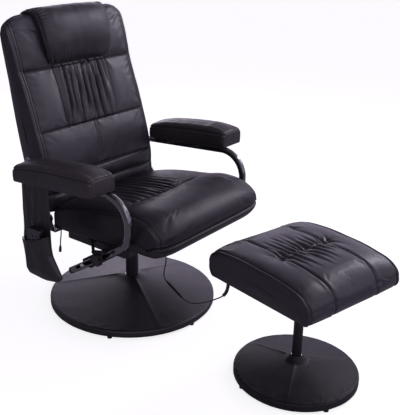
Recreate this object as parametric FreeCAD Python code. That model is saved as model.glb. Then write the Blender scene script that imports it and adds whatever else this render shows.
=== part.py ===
import FreeCAD, Part
import math
import os

os.makedirs("parts", exist_ok=True)
V = FreeCAD.Vector

# A padded swivel recliner with a footstool. Millimetres, +Z up.
# The origin is on the floor on the chair's swivel axis, and the sitter faces -Y.

# Driving dimensions of the chair base
base_radius = 290.0
base_hub_height = 88.0
base_corner_radius = 54.0
base_leg_angle = -119.4
base_glide_count = 6
base_glide_angle = -93.0
base_boot_radius = 40.0
base_boot_height = 9.0
column_radius = 22.0
column_top = 205.0

# Driving dimensions of the footstool
stool_x = -48.5
stool_y = -694.0
stool_turn = -12.7
stool_radius = 183.0
stool_hub_height = 60.0
stool_corner_radius = 40.0
stool_leg_angle = -146.0
stool_glide_count = 4
stool_glide_angle = 72.0
stool_boot_radius = 42.0
stool_boot_height = 16.0
stool_post_radius = 14.0
stool_half_width = 186.0
stool_half_depth = 190.0
stool_cushion_bottom = 317.0
stool_cushion_height = 98.0

# Sizes that both bases share
glide_radius = 8.0
glide_height = 8.0
rim_height = 24.0
ring_width = 12.0
cover_thickness = 2.0
leg_thickness = 6.0
leg_depth = 22.0
leg_count = 3
panel_strips = 10
sleeve_wall = 7.0
sleeve_height = 46.0

# Column, bush and spindle
tube_wall = 2.0
column_foot = 14.0
bush_length = 85.0
bush_flange = 3.0
spindle_radius = 12.5
spindle_below_bush = 8.0
collar_radius = 30.0

# Pressed pan and rail under the seat
pan_half_width = 200.0
pan_front = -160.0
pan_rear = 110.0
pan_bottom = 271.0
pan_height = 25.0
pan_wall = 3.0
pan_corner = 14.0
pan_slot_length = 90.0
pan_slot_width = 22.0
pan_slot_place = 150.0
rail_y = -70.0
rail_width = 40.0
rail_height = 22.0
rail_corner = 4.0
side_bracket_y = -109.0
side_bracket_width = 26.0
side_bracket_thickness = 6.0
side_bracket_drop = 9.0

# Arm tubes: two straight runs and a front run, joined by two bends
arm_x = 291.0
arm_tube_width = 18.0
arm_tube_depth = 22.0
arm_tube_corner = 6.0
arm_rear_y = 178.0
arm_front_y = -256.5
arm_low_z = 377.4
arm_end_y = -14.0
arm_end_z = 224.2
arm_bend_top = 85.0
arm_bend_low = 78.0

# Arm pads
pad_x = 322.0
pad_front_y = -188.0
pad_rear_y = 152.0
pad_front_z = 529.0
pad_slope = 0.0667
pad_width = 104.0
pad_side_height = 52.0
pad_crown = 25.0
pad_corner = 9.0
pad_corner_share = 0.6
pad_top_slope = 0.09
pad_top_front = 72.0
pad_top_middle = 66.0
pad_top_rear = 40.0
pad_nose = 12.0
pad_board_x = 312.0
pad_board_width = 64.0
pad_board_thickness = 9.0
pad_board_inset = 18.0

# Recline linkage: arm pivot, seat hinge and clamp bolt, as Y and Z
pivot_y = 160.0
hinge_y = 117.0
hinge_z = 358.0
clamp_y = -148.5
recline_up = -4.0
recline_down = 24.0
tilt_ratio = -0.94
slot_end_margin = 3.0
slot_tail = 112.0
slot_clearance = 0.7

# Pins, bolts and fits
pin_radius = 5.0
clamp_bolt_radius = 4.0
head_radius = 9.0
head_height = 4.0
running_gap = 0.08
fit_gap = 0.3
snug_gap = 0.05
side_gap = 3.0
overrun = 5.0
upright_share = 0.9

# Back brackets and tubes
bracket_x = 261.0
bracket_thickness = 5.0
bracket_pivot_radius = 15.0
bracket_hinge_radius = 13.0
back_tube_radius = 10.0
back_tube_low_y = 172.0
back_tube_low_z = 420.0
back_tube_high_y = 203.0
back_tube_high_z = 535.0

# Seat struts and hinge lugs
strut_x = 272.0
strut_thickness = 5.0
strut_boss_radius = 13.0
strut_width = 14.0
strut_depth = 8.0
strut_knee_y = -92.0
strut_knee_z = 303.0
strut_knee_radius = 7.0
strut_inner_x = 238.0
strut_inner_y = -50.0
strut_foot_length = 56.0
strut_foot_width = 34.0
foot_thickness = 4.0
lug_x = 266.5
lug_thickness = 5.0
lug_foot_inner_x = 216.0
lug_foot_front_y = 84.0
lug_rear_y = 130.0
washer_thickness = 1.5

# Clamp knobs
knob_radius = 20.0
knob_lobe_radius = 5.5
knob_lobes = 6
knob_length = 22.0
knob_boss_radius = 12.0
knob_boss_length = 4.0
bolt_in_knob = 16.0

# Back cushion, its boards and cover
back_front_y = 115.0
back_depth = 195.0
back_bottom = 368.0
back_height = 617.0
back_half_width = 258.0
back_cover_thickness = 8.0
back_cover_top_inset = 37.0
back_cover_foot_inset = 18.0
back_cover_cut_inset = 60.0
back_cover_half_width = 246.0
back_board_thickness = 12.0
back_board_half_width = 215.0
back_board_foot_inset = 36.0
back_board_top_inset = 80.0
back_rear_low_share = (0.4615, 0.0519)
back_rear_middle_share = (0.8205, 0.4733)
back_rear_top_share = (1.0256, 0.9109)
gather_count = 8
gather_half_width = 108.0
gather_depth = 3.5
gather_width = 4.0
seam_depth = 4.0
seam_width = 4.0
upright_seam_x = 118.0

# Headrest pillow
pillow_half_width = 156.0
pillow_foot_half_width = 129.0
pillow_taper_inset = 60.0

# Seat cushion
seat_rear_y = 104.0
seat_depth = 456.0
seat_bottom = 322.0
seat_height = 140.0
seat_half_width = 262.0
seat_board_thickness = 12.0
seat_board_half_width = 225.0
seat_board_front_y = -268.0
seat_board_rear_y = 94.0
pleat_count = 9
pleat_half_width = 132.0
pleat_depth = 4.0
pleat_width = 4.5
panel_seam_half_width = 205.0

# Massage motors
motor_radius = 30.0
motor_height = 22.0
seat_motor_x = 105.0
seat_motor_y = -60.0
back_motor_x = 95.0
back_motor_height_shares = (0.384, 0.660)

# Side pocket and hand control
pocket_strip_thickness = 3.0
pocket_strip_x = -368.0
pocket_depth = 29.0
pocket_rear_draw = 24.0
pocket_low_draw = 8.0
pocket_wall = 2.5
pocket_top = 525.0
pocket_low = 208.0
pocket_front_y = -60.0
pocket_rear_y = 122.0
control_width = 58.0
control_thickness = 22.0
control_height = 123.0
control_y = 46.0
control_z = 258.0
control_corner = 9.0
control_wall = 2.0
control_split_share = 0.45
button_width = 13.0
button_height = 9.0
button_corner = 2.5
button_pitch_y = 22.0
button_pitch_z = 18.0
button_top_drop = 26.0
button_stand = 1.6
button_travel = 1.2
button_skirt = 1.5

# Control box, glands and leads
box_length = 110.0
box_width = 60.0
box_height = 20.0
box_x = -66.0
gland_radius = 5.0
gland_length = 16.0
gland_flange = 4.0
gland_z = 283.0
cord_radius = 2.0
cord_sides = 8
connector_radius = 4.5
connector_waist = 3.2
connector_shares = (0.12, 0.46, 0.51, 0.88)
boot_lead_radius = 5.0
plug_radius = 4.5
plug_length = 22.0
plug_sleeve_radius = 3.0
plug_sleeve_length = 5.5

# Footstool cushion and board
stool_board_thickness = 12.0
stool_board_inset = 14.0
stool_plate_half = 70.0
stool_plate_thickness = 4.0
stool_seam_x = 85.0
tuft_depth = 9.0
tuft_radius = 27.0
tuft_fold_radius = 18.0
tuft_folds = 8


def box(x0, x1, y0, y1, z0, z1):
    """A block between two corners."""
    return Part.makeBox(x1 - x0, y1 - y0, z1 - z0, V(x0, y0, z0))


def disc(radius, z0, z1, x=0, y=0):
    """An upright round rod."""
    return Part.makeCylinder(radius, z1 - z0, V(x, y, z0))


def rod(radius, x0, x1, y, z):
    """A round rod that lies along X."""
    return Part.makeCylinder(radius, x1 - x0, V(x0, y, z), V(1, 0, 0))


def hex_rod(radius, x0, x1, y, z):
    """A six-sided bolt head that lies along X, measured to its corners."""
    corners = [V(x0, y + dy, z + dz) for dy, dz in (polar(radius, i * 60.0) for i in range(6))]
    return Part.Face(Part.makePolygon(corners + corners[:1])).extrude(V(x1 - x0, 0, 0))


def mirrored(shape):
    """The same piece on the chair's other side."""
    return shape.mirror(V(0, 0, 0), V(1, 0, 0))


def outline(place, start, runs):
    """A closed wire. A run is an end point, or a middle and an end point for an arc."""
    edges = []
    here = place(*start)
    for run in runs:
        there = place(*run[-1])
        if len(run) == 2:
            edges.append(Part.Arc(here, place(*run[0]), there).toShape())
        else:
            edges.append(Part.LineSegment(here, there).toShape())
        here = there
    first = place(*start)
    if (here - first).Length > snug_gap:
        edges.append(Part.LineSegment(here, first).toShape())
    return Part.Wire(edges)


def side_plane(x):
    """Turns Y and Z into a point on the upright plane at x."""
    return lambda y, z: V(x, y, z)


def side_prism(x0, x1, start, runs):
    """A side outline drawn out along X."""
    return Part.Face(outline(side_plane(x0), start, runs)).extrude(V(x1 - x0, 0, 0))


def upright_edges(block):
    """The edges of a block that stand up."""
    return [e for e in block.Edges if abs(e.tangentAt(e.FirstParameter).z) > upright_share]


def rounded_block(x0, x1, y0, y1, z0, z1, corner):
    """A block with its upright edges rounded."""
    block = box(x0, x1, y0, y1, z0, z1)
    return block.makeFillet(corner, upright_edges(block))


def polar(radius, turn):
    """X and Y at a radius and a turn in degrees."""
    return radius * math.cos(math.radians(turn)), radius * math.sin(math.radians(turn))


def save(name, *solids):
    """One file for a piece, or for a group of like pieces."""
    shape = solids[0] if len(solids) == 1 else Part.makeCompound(list(solids))
    shape.exportStep("parts/" + name + ".step")


def stool_place(shape):
    """Moves a piece from the footstool's own frame to its place beside the chair."""
    moved = shape.copy()
    moved.rotate(V(0, 0, 0), V(0, 0, 1), stool_turn)
    moved.translate(V(stool_x, stool_y, 0))
    return moved


# Round bases


def three_panel_solid(radius, rim_z, corner_radius, hub_z, turn):
    """The taut cover's outside: flat strips ruled from a round rim up to the hub's three corners."""
    step = 360.0 / leg_count
    corners = [V(*polar(corner_radius, turn + i * step), hub_z) for i in range(leg_count)]
    faces = [Part.Face(Part.makePolygon(corners + corners[:1]))]
    rim = [V(*polar(radius, turn + k * step / panel_strips), rim_z) for k in range(leg_count * panel_strips)]
    faces.append(Part.Face(Part.makePolygon(rim + rim[:1])))
    for i, here in enumerate(corners):
        way = (corners[(i + 1) % leg_count] - here) / panel_strips
        for k in range(panel_strips):
            low = rim[i * panel_strips + k]
            next_low = rim[(i * panel_strips + k + 1) % len(rim)]
            high, next_high = here + way * k, here + way * (k + 1)
            faces.append(Part.Face(Part.makePolygon([low, next_low, high, low])))
            faces.append(Part.Face(Part.makePolygon([high, next_low, next_high, high])))
    return Part.Solid(Part.Shell(faces))


def panel_sag(corner_radius, radius, hub_z):
    """How far the middle of a panel lies below the ridges at the hub."""
    slope = (hub_z - glide_height - rim_height) / (radius - corner_radius / 2)
    return slope * corner_radius / 2


def base_cover(radius, corner_radius, hub_z, turn, hole_radius):
    """Leatherette stretched over the rim and the legs, open below."""
    rim_top = glide_height + rim_height
    outside = disc(radius, glide_height, rim_top).fuse(
        three_panel_solid(radius, rim_top, corner_radius, hub_z, turn))
    inner_radius = radius - cover_thickness
    inner_top = rim_top - cover_thickness
    under_hub = hub_z - cover_thickness - panel_sag(corner_radius, radius, hub_z)
    inside = disc(inner_radius, glide_height - overrun, inner_top).fuse(
        Part.makeCone(inner_radius, corner_radius, under_hub - inner_top, V(0, 0, inner_top)))
    hole = disc(hole_radius, glide_height, hub_z + overrun)
    return outside.cut(inside).cut(hole)


def base_ring(radius):
    """Flat steel hoop inside the rim."""
    outer = radius - cover_thickness - fit_gap
    top = glide_height + rim_height - cover_thickness - fit_gap
    return disc(outer, glide_height, top).cut(disc(outer - ring_width, glide_height - overrun, top + overrun))


def base_legs(radius, corner_radius, hub_z, turn, post_radius):
    """Three flat steel legs from the hub sleeve down to the hoop, under the cover's ridges."""
    sag = panel_sag(corner_radius, radius, hub_z)
    sleeve_top = hub_z - cover_thickness - sag - fit_gap
    sleeve_radius = post_radius + snug_gap + sleeve_wall
    sleeve = disc(sleeve_radius, sleeve_top - sleeve_height, sleeve_top)
    rim_top = glide_height + rim_height
    reach = radius - cover_thickness - fit_gap - ring_width - snug_gap
    slope = (hub_z - sag - rim_top) / (radius - corner_radius)
    under = cover_thickness * (1 + slope) + fit_gap
    top_in = sleeve_top
    top_out = rim_top + slope * (radius - reach) - under
    start_r = post_radius + sleeve_wall / 2
    flat_r = corner_radius - under
    low_out = top_out - leg_depth + cover_thickness
    low_in = top_in - 2 * leg_depth + cover_thickness
    leg = Part.Face(outline(lambda r, z: V(r, -leg_thickness / 2, z), (start_r, top_in),
                            [((flat_r, top_in),), ((reach, top_out),), ((reach, low_out),), ((start_r, low_in),)]))
    leg = leg.extrude(V(0, leg_thickness, 0))
    legs = sleeve
    for i in range(leg_count):
        arm = leg.copy()
        arm.rotate(V(0, 0, 0), V(0, 0, 1), turn + i * 360.0 / leg_count)
        legs = legs.fuse(arm)
    hole = disc(post_radius + snug_gap, glide_height - overrun, sleeve_top + overrun)
    return legs.cut(hole)


def base_boot(boot_radius, boot_height, hub_z, post_radius):
    """Soft round boot where the column goes into the cover."""
    inner = post_radius + fit_gap
    lip = boot_height / 3
    wire = outline(lambda r, z: V(r, 0, z), (inner, hub_z),
                   [((boot_radius, hub_z),), ((boot_radius, hub_z + lip),),
                    ((inner + lip, hub_z + boot_height),), ((inner, hub_z + boot_height),)])
    return Part.Face(wire).revolve(V(0, 0, 0), V(0, 0, 1), 360)


def base_glides(radius, count, turn):
    """Small rubber feet under the rim."""
    place_radius = radius - cover_thickness - glide_radius - fit_gap
    glides = []
    for i in range(count):
        x, y = polar(place_radius, turn + i * 360.0 / count)
        glides.append(disc(glide_radius, 0, glide_height, x, y))
    return glides


save("base_cover", base_cover(base_radius, base_corner_radius, base_hub_height, base_leg_angle,
                              column_radius + fit_gap))
save("base_ring", base_ring(base_radius))
save("base_legs", base_legs(base_radius, base_corner_radius, base_hub_height, base_leg_angle, column_radius))
save("base_boot", base_boot(base_boot_radius, base_boot_height, base_hub_height, column_radius))
chair_glides = base_glides(base_radius, base_glide_count, base_glide_angle)
stool_glides = base_glides(stool_radius, stool_glide_count, stool_glide_angle)
save("base_glides", *chair_glides)
save("stool_glides", *[stool_place(glide) for glide in stool_glides])

# Column, bush and spindle: the chair turns on this bearing

column = disc(column_radius, column_foot, column_top).cut(
    disc(column_radius - tube_wall, column_foot + tube_wall, column_top + overrun))
save("column", column)
bush_outer = column_radius - tube_wall - snug_gap
flange_top = column_top + bush_flange
bush = disc(bush_outer, column_top - bush_length, column_top).fuse(disc(column_radius, column_top, flange_top))
bush = bush.cut(disc(spindle_radius + running_gap, column_top - bush_length - overrun, flange_top + overrun))
save("column_bush", bush)
pan_top = pan_bottom + pan_height
sheet_bottom = pan_top - pan_wall
spindle = disc(spindle_radius, column_top - bush_length - spindle_below_bush, sheet_bottom).fuse(
    disc(collar_radius, flange_top + fit_gap, sheet_bottom))
save("swivel_spindle", spindle)

# Pan, cross rail and side brackets

pan = rounded_block(-pan_half_width, pan_half_width, pan_front, pan_rear, pan_bottom, pan_top, pan_corner)
pan_inside = rounded_block(-pan_half_width + pan_wall, pan_half_width - pan_wall, pan_front + pan_wall,
                           pan_rear - pan_wall, pan_bottom - overrun, sheet_bottom, pan_corner - pan_wall)
pan = pan.cut(pan_inside)
for side in (-1, 1):
    slot_x = side * pan_slot_place
    pan_mid = (pan_front + pan_rear) / 2
    pan = pan.cut(rounded_block(slot_x - pan_slot_width / 2, slot_x + pan_slot_width / 2,
                                pan_mid - pan_slot_length / 2, pan_mid + pan_slot_length / 2,
                                sheet_bottom - overrun, pan_top + overrun, pan_slot_width / 2 - snug_gap))
gland_hole = Part.makeCylinder(gland_radius, pan_wall + 2 * overrun, V(box_x, pan_front - overrun, gland_z),
                               V(0, 1, 0))
pan = pan.cut(gland_hole)
save("mechanism_pan", pan)

arm_inner_x = arm_x - arm_tube_width / 2
arm_outer_x = arm_x + arm_tube_width / 2


def tube_section_block(x0, x1, width, height, y, z):
    """A rectangular tube along X with rounded corners."""
    block = box(x0, x1, y - width / 2, y + width / 2, z - height / 2, z + height / 2)
    long_edges = [e for e in block.Edges if abs(e.tangentAt(e.FirstParameter).x) > upright_share]
    outer = block.makeFillet(rail_corner, long_edges)
    wall = 2 * tube_wall
    core = box(x0 - overrun, x1 + overrun, y - width / 2 + tube_wall, y + width / 2 - tube_wall,
               z - height / 2 + tube_wall, z + height / 2 - tube_wall)
    return outer.cut(core)


rail_z = pan_bottom - rail_height / 2
save("cross_rail", tube_section_block(-arm_inner_x, arm_inner_x, rail_width, rail_height, rail_y, rail_z))
bracket_top = pan_top - side_bracket_drop
side_bracket = box(pan_half_width, arm_inner_x, side_bracket_y - side_bracket_width / 2,
                   side_bracket_y + side_bracket_width / 2, bracket_top - side_bracket_thickness, bracket_top)
save("side_brackets", side_bracket, mirrored(side_bracket))

# Arm tubes. The top run lies under the pad, and the lower run slopes down to the rear


def direction(y, z):
    """A unit step in the side plane."""
    length = math.hypot(y, z)
    return y / length, z / length


def bend(before, corner, after, radius):
    """Tangent points and middle of a round bend in the side plane."""
    a = direction(before[0] - corner[0], before[1] - corner[1])
    b = direction(after[0] - corner[0], after[1] - corner[1])
    half = math.acos(a[0] * b[0] + a[1] * b[1]) / 2
    reach = radius / math.tan(half)
    mid = direction(a[0] + b[0], a[1] + b[1])
    depth = radius / math.sin(half) - radius
    return ((corner[0] + a[0] * reach, corner[1] + a[1] * reach),
            (corner[0] + mid[0] * depth, corner[1] + mid[1] * depth),
            (corner[0] + b[0] * reach, corner[1] + b[1] * reach))


def pad_bottom(y):
    """Height of the pads' flat underside."""
    return pad_front_z - pad_slope * (y - pad_front_y)


def tube_top_run(y):
    """Centre height of the tube's top run, which carries the pad."""
    return pad_bottom(y) - arm_tube_depth / 2


top_rear = (arm_rear_y, tube_top_run(arm_rear_y))
top_corner = (arm_front_y, tube_top_run(arm_front_y))
low_corner = (arm_front_y, arm_low_z)
low_end = (arm_end_y, arm_end_z)
top_bend = bend(top_rear, top_corner, low_corner, arm_bend_top)
low_bend = bend(top_corner, low_corner, low_end, arm_bend_low)
run_y, run_z = direction(low_end[0] - low_corner[0], low_end[1] - low_corner[1])


def swept(face, points, radii):
    """A flat face carried along straight runs and round bends. Each bend is a turn about its own axis."""
    here = points[0]
    pieces = []
    for before, corner, after, radius in zip(points, points[1:], points[2:], radii):
        a = (before - corner).normalize()
        b = (after - corner).normalize()
        half = math.acos(a.dot(b)) / 2
        first = corner + a * (radius / math.tan(half))
        centre = corner + (a + b).normalize() * (radius / math.sin(half))
        axis = a.cross(b) * -1
        turn = 180 - 2 * math.degrees(half)
        pieces.append(face.extrude(first - here))
        face.translate(first - here)
        pieces.append(face.revolve(centre, axis, turn))
        face.rotate(centre, axis, turn)
        here = corner + b * (radius / math.tan(half))
    pieces.append(face.extrude(points[-1] - here))
    return pieces[0].fuse(pieces[1:]).removeSplitter()


def oval_section(x, width, depth, corner):
    """The tube's flat-oval section, square to the rear end of its centre line."""
    along = direction(top_bend[0][0] - top_rear[0], top_bend[0][1] - top_rear[1])
    across = (-along[1], along[0])

    def place(u, v):
        return V(x + u, top_rear[0] + v * across[0], top_rear[1] + v * across[1])

    w, d = width / 2, depth / 2
    k = corner * (1 - math.sqrt(0.5))
    if corner == 0:
        return outline(place, (w, -d), [((w, d),), ((-w, d),), ((-w, -d),)])
    runs = []
    start = (w, -d + corner)
    for su, sv in ((1, 1), (-1, 1), (-1, -1), (1, -1)):
        side_first = su == sv
        near = (su * w, sv * (d - corner)) if side_first else (su * (w - corner), sv * d)
        far = (su * (w - corner), sv * d) if side_first else (su * w, sv * (d - corner))
        runs.append((near,))
        runs.append(((su * (w - k), sv * (d - k)),))
        runs.append((far,))
    return outline(place, start, runs)


def arm_sweep(x, width, depth, corner):
    """A solid of the given section along the arm tube's centre line."""
    corners = [side_plane(x)(*p) for p in (top_rear, top_corner, low_corner, low_end)]
    return swept(Part.Face(oval_section(x, width, depth, corner)), corners, (arm_bend_top, arm_bend_low))


def hull_plate(x0, x1, circles):
    """A flat plate whose outline wraps round the given circles, each with its radius."""
    plate = None
    for (ya, za, ra), (yb, zb, rb) in zip(circles, circles[1:]):
        gap = math.hypot(yb - ya, zb - za)
        base = math.atan2(zb - za, yb - ya)
        turn = math.acos((ra - rb) / gap)
        points = []
        for sign, (y, z, r) in ((1, (ya, za, ra)), (1, (yb, zb, rb)), (-1, (yb, zb, rb)), (-1, (ya, za, ra))):
            points.append((y + r * math.cos(base + sign * turn), z + r * math.sin(base + sign * turn)))
        web = side_prism(x0, x1, points[0], [(points[1],), (points[2],), (points[3],)])
        piece = web.fuse(rod(ra, x0, x1, ya, za)).fuse(rod(rb, x0, x1, yb, zb))
        plate = piece if plate is None else plate.fuse(piece)
    return plate.removeSplitter()


# The recline linkage. The back turns on the arm pivot, the seat hangs on the back's lower
# corner, and the clamp bolts ride in the slots of the lower runs.

pivot_z = tube_top_run(pivot_y)
clamp_z = arm_low_z + (clamp_y - arm_front_y) * run_z / run_y


def reclined(y, z, centre, angle):
    """A point of the side plane after a recline by an angle in degrees."""
    c, s = math.cos(math.radians(angle)), math.sin(math.radians(angle))
    dy, dz = y - centre[0], z - centre[1]
    return centre[0] + dy * c + dz * s, centre[1] - dy * s + dz * c


def clamp_place(angle):
    """Where the clamp bolt is when the back has reclined by an angle."""
    hinge = reclined(hinge_y, hinge_z, (pivot_y, pivot_z), angle)
    bolt = reclined(clamp_y, clamp_z, (pivot_y, pivot_z), angle)
    return reclined(bolt[0], bolt[1], hinge, tilt_ratio * angle)


def slot_tool(x0, x1):
    """The slot, cut along the arc that the clamp bolt follows."""
    low = clamp_place(recline_up)
    high = clamp_place(recline_down)
    mid = clamp_place((recline_up + recline_down) / 2)
    half = clamp_bolt_radius + slot_clearance
    chord = direction(high[0] - low[0], high[1] - low[1])
    low = (low[0] - chord[0] * slot_end_margin, low[1] - chord[1] * slot_end_margin)
    high = (high[0] + chord[0] * slot_end_margin, high[1] + chord[1] * slot_end_margin)
    centre = Part.Arc(V(x0, *low), V(x0, *mid), V(x0, *high)).toShape().Curve.Center
    edges = []
    points = []
    for sign in (-1, 1):
        ends = []
        for p in (low, mid, high):
            out = V(x0, *p) - centre
            ends.append(centre + out * ((out.Length + sign * half) / out.Length))
        points.append(ends)
    cap_low = V(x0, low[0] - chord[0] * half, low[1] - chord[1] * half)
    cap_high = V(x0, high[0] + chord[0] * half, high[1] + chord[1] * half)
    edges.append(Part.Arc(points[0][0], points[0][1], points[0][2]).toShape())
    edges.append(Part.Arc(points[0][2], cap_high, points[1][2]).toShape())
    edges.append(Part.Arc(points[1][2], points[1][1], points[1][0]).toShape())
    edges.append(Part.Arc(points[1][0], cap_low, points[0][0]).toShape())
    slot = Part.Face(Part.Wire(edges)).extrude(V(x1 - x0, 0, 0))
    tail = (low[0] + run_y * slot_tail, low[1] + run_z * slot_tail)
    return slot.fuse(hull_plate(x0, x1, [(*tail, half), (*low, half)]))


def arm_tube(x):
    """Bent flat-oval steel tube with its clamp slot and its pivot hole."""
    outer = arm_sweep(x, arm_tube_width, arm_tube_depth, arm_tube_corner)
    inner = arm_sweep(x, arm_tube_width - 2 * tube_wall, arm_tube_depth - 2 * tube_wall, 0)
    tube = outer.cut(inner)
    x0 = x - arm_tube_width / 2 - overrun
    x1 = x + arm_tube_width / 2 + overrun
    tube = tube.cut(slot_tool(x0, x1))
    return tube.cut(rod(pin_radius + snug_gap, x0, x1, pivot_y, pivot_z))


def tube_cap(x, at, before):
    """Half-round plastic end of the tube, flush with its sides."""
    out = direction(at[0] - before[0], at[1] - before[1])
    across = (-out[1], out[0])
    r = arm_tube_depth / 2 - snug_gap
    start = (at[0] + across[0] * r, at[1] + across[1] * r)
    tip = (at[0] + out[0] * r, at[1] + out[1] * r)
    end = (at[0] - across[0] * r, at[1] - across[1] * r)
    half = arm_tube_width / 2 - snug_gap
    return side_prism(x - half, x + half, start, [(tip, end)])


save("arm_tube_left", arm_tube(arm_x))
save("arm_tube_right", arm_tube(-arm_x))
caps = [tube_cap(arm_x, top_rear, top_bend[0]), tube_cap(arm_x, low_end, low_bend[2])]
save("tube_caps", *caps, *[mirrored(cap) for cap in caps])


def arm_bolt():
    """Pivot bolt through the tube's rear end and the back's bracket, with its spacer."""
    head = hex_rod(head_radius, arm_outer_x + snug_gap, arm_outer_x + head_height, pivot_y, pivot_z)
    shank = rod(pin_radius, bracket_x - head_height / 2, arm_outer_x + head_height, pivot_y, pivot_z)
    collar = rod(head_radius, bracket_x + bracket_thickness + fit_gap, arm_inner_x - snug_gap, pivot_y, pivot_z)
    return head.fuse(shank).fuse(collar)


save("arm_pivot_bolts", arm_bolt(), mirrored(arm_bolt()))

# Arm pads


def arm_pad():
    """Padded arm rest, lower at the rear: a crowned section, cut to a side outline and a rounded plan."""
    half = pad_width / 2
    corner = pad_crown * pad_corner_share
    k = corner * (1 - math.sqrt(0.5))
    run = pad_rear_y - pad_front_y
    side, crown = pad_side_height, pad_side_height + pad_crown
    start = pad_front_y - overrun
    section = outline(lambda x, up: V(pad_x + x, start, pad_front_z + up), (-half, -overrun),
                      [((half, -overrun),), ((half, side),),
                       ((half - k, side + corner - k), (half - corner, side + corner)),
                       ((0, crown), (corner - half, side + corner)), ((k - half, side + corner - k), (-half, side))])
    pad = Part.Face(section).extrude(V(0, run + 4 * overrun, 0))
    pad.rotate(V(pad_x, pad_front_y, pad_front_z), V(1, 0, 0), -math.degrees(math.atan(pad_top_slope)))
    nose_y, tail_y = pad_front_y + pad_nose, pad_rear_y - pad_nose
    nose_z, middle_z, tail_z = [pad_front_z + top for top in (pad_top_front, pad_top_middle, pad_top_rear)]
    seat = [(y, pad_bottom(y) + fit_gap) for y in (pad_front_y, pad_rear_y)]
    pad = pad.common(side_prism(
        pad_x - pad_width, pad_x + pad_width, seat[0],
        [((pad_front_y, nose_z - pad_nose),), ((nose_y, nose_z),), (((nose_y + tail_y) / 2, middle_z),),
         ((tail_y, tail_z),), ((pad_rear_y, tail_z - pad_nose),), (seat[1],)]))
    plan = box(pad_x - half, pad_x + half, pad_front_y, pad_rear_y, pad_bottom(pad_rear_y) - overrun,
               pad_front_z + pad_width)
    plan = plan.makeChamfer(pad_corner, upright_edges(plan))
    return pad.common(plan).cut(pad_board(fit_gap))


def pad_board(grow):
    """Plywood strip in the pad's underside, which the tube's screws go into."""
    half = pad_board_width / 2 + grow
    rear, front = pad_rear_y - pad_board_inset + grow, pad_front_y + pad_board_inset - grow
    low = snug_gap if grow == 0 else -overrun
    return side_prism(pad_board_x - half, pad_board_x + half, (rear, pad_bottom(rear) + low),
                      [((rear, pad_bottom(rear) + pad_board_thickness + grow),),
                       ((front, pad_bottom(front) + pad_board_thickness + grow),),
                       ((front, pad_bottom(front) + low),)])


pad = arm_pad()
save("arm_pad_left", pad)
save("arm_pad_right", mirrored(pad))
save("arm_pad_boards", pad_board(0), mirrored(pad_board(0)))

# Back: the cushion's side outline, as shares of its depth and height

back_start_share = (0.405, 0.010)
back_middle_shares = (
    ((0.026, 0.000),), ((0.000, 0.049), (0.038, 0.096)), ((0.010, 0.139), (0.056, 0.183)),
    ((0.118, 0.300), (0.246, 0.420)), ((0.385, 0.567), (0.585, 0.724)), ((0.641, 0.838), (0.754, 0.951)),
    ((0.805, 0.987), (0.908, 1.000)), ((0.974, 0.989), (0.990, 0.951)), ((0.779, 0.473), (0.405, 0.010)))
back_edge_start_share = (0.405, 0.016)
back_edge_shares = (
    ((0.077, 0.006),), ((0.079, 0.052), (0.087, 0.096)), ((0.092, 0.141), (0.108, 0.183)),
    ((0.185, 0.303), (0.292, 0.420)), ((0.456, 0.574), (0.631, 0.724)), ((0.713, 0.817), (0.795, 0.903)),
    ((0.836, 0.930), (0.903, 0.943)), ((0.954, 0.935), (0.969, 0.911)), ((0.779, 0.473), (0.405, 0.016)))
back_x_shares = (-1.0, -0.93, -0.78, 0.78, 0.93, 1.0)
back_crown_shares = (0.0, 0.55, 1.0, 1.0, 0.55, 0.0)


def between(edge, middle, share):
    """A point part of the way from the cushion's edge outline to its middle outline."""
    return edge[0] + (middle[0] - edge[0]) * share, edge[1] + (middle[1] - edge[1]) * share


def back_point(u, w):
    """Y and Z of a share of the back's depth and height."""
    return back_front_y + u * back_depth, back_bottom + w * back_height


def cushion_loft(half_width, x_shares, crown_shares, point, edge_start, edge_runs, middle_start, middle_runs):
    """A crowned cushion, lofted across the chair through its side outlines."""
    wires = []
    for x_share, crown in zip(x_shares, crown_shares):
        start = point(*between(edge_start, middle_start, crown))
        runs = []
        for edge_run, middle_run in zip(edge_runs, middle_runs):
            runs.append(tuple(point(*between(e, m, crown)) for e, m in zip(edge_run, middle_run)))
        wires.append(outline(side_plane(x_share * half_width), start, runs))
    return Part.makeLoft(wires, True, True)


def rear_arc_point(z, forward):
    """Y on the back's curved rear face at a height, moved forward by a thickness."""
    low, mid, top = [V(0, *back_point(*share))
                     for share in (back_rear_low_share, back_rear_middle_share, back_rear_top_share)]
    circle = Part.Arc(low, mid, top).toShape().Curve
    way = 1 if circle.Center.y < mid.y else -1
    radius = circle.Radius - forward * way
    return circle.Center.y + way * math.sqrt(radius * radius - (z - circle.Center.z) ** 2)


def rear_sheet(x0, x1, z0, z1, near, far):
    """A bent sheet that follows the back's rear face, between two depths."""
    mid = (z0 + z1) / 2
    return side_prism(x0, x1, (rear_arc_point(z0, near), z0),
                      [((rear_arc_point(mid, near), mid), (rear_arc_point(z1, near), z1)),
                       ((rear_arc_point(z1, far), z1),),
                       ((rear_arc_point(mid, far), mid), (rear_arc_point(z0, far), z0))])


def motor():
    """Round motor housing, standing on the XY plane."""
    return disc(motor_radius, 0, motor_height)


def motor_room():
    """The pocket that a cushion keeps for a motor."""
    return disc(motor_radius + fit_gap, -overrun, motor_height + fit_gap)


back_top = back_bottom + back_height
back_board_bottom = back_bottom + back_board_foot_inset
back_board_top = back_top - back_board_top_inset
back_board_near = back_cover_thickness + fit_gap
back_board_far = back_board_near + back_board_thickness


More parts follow.
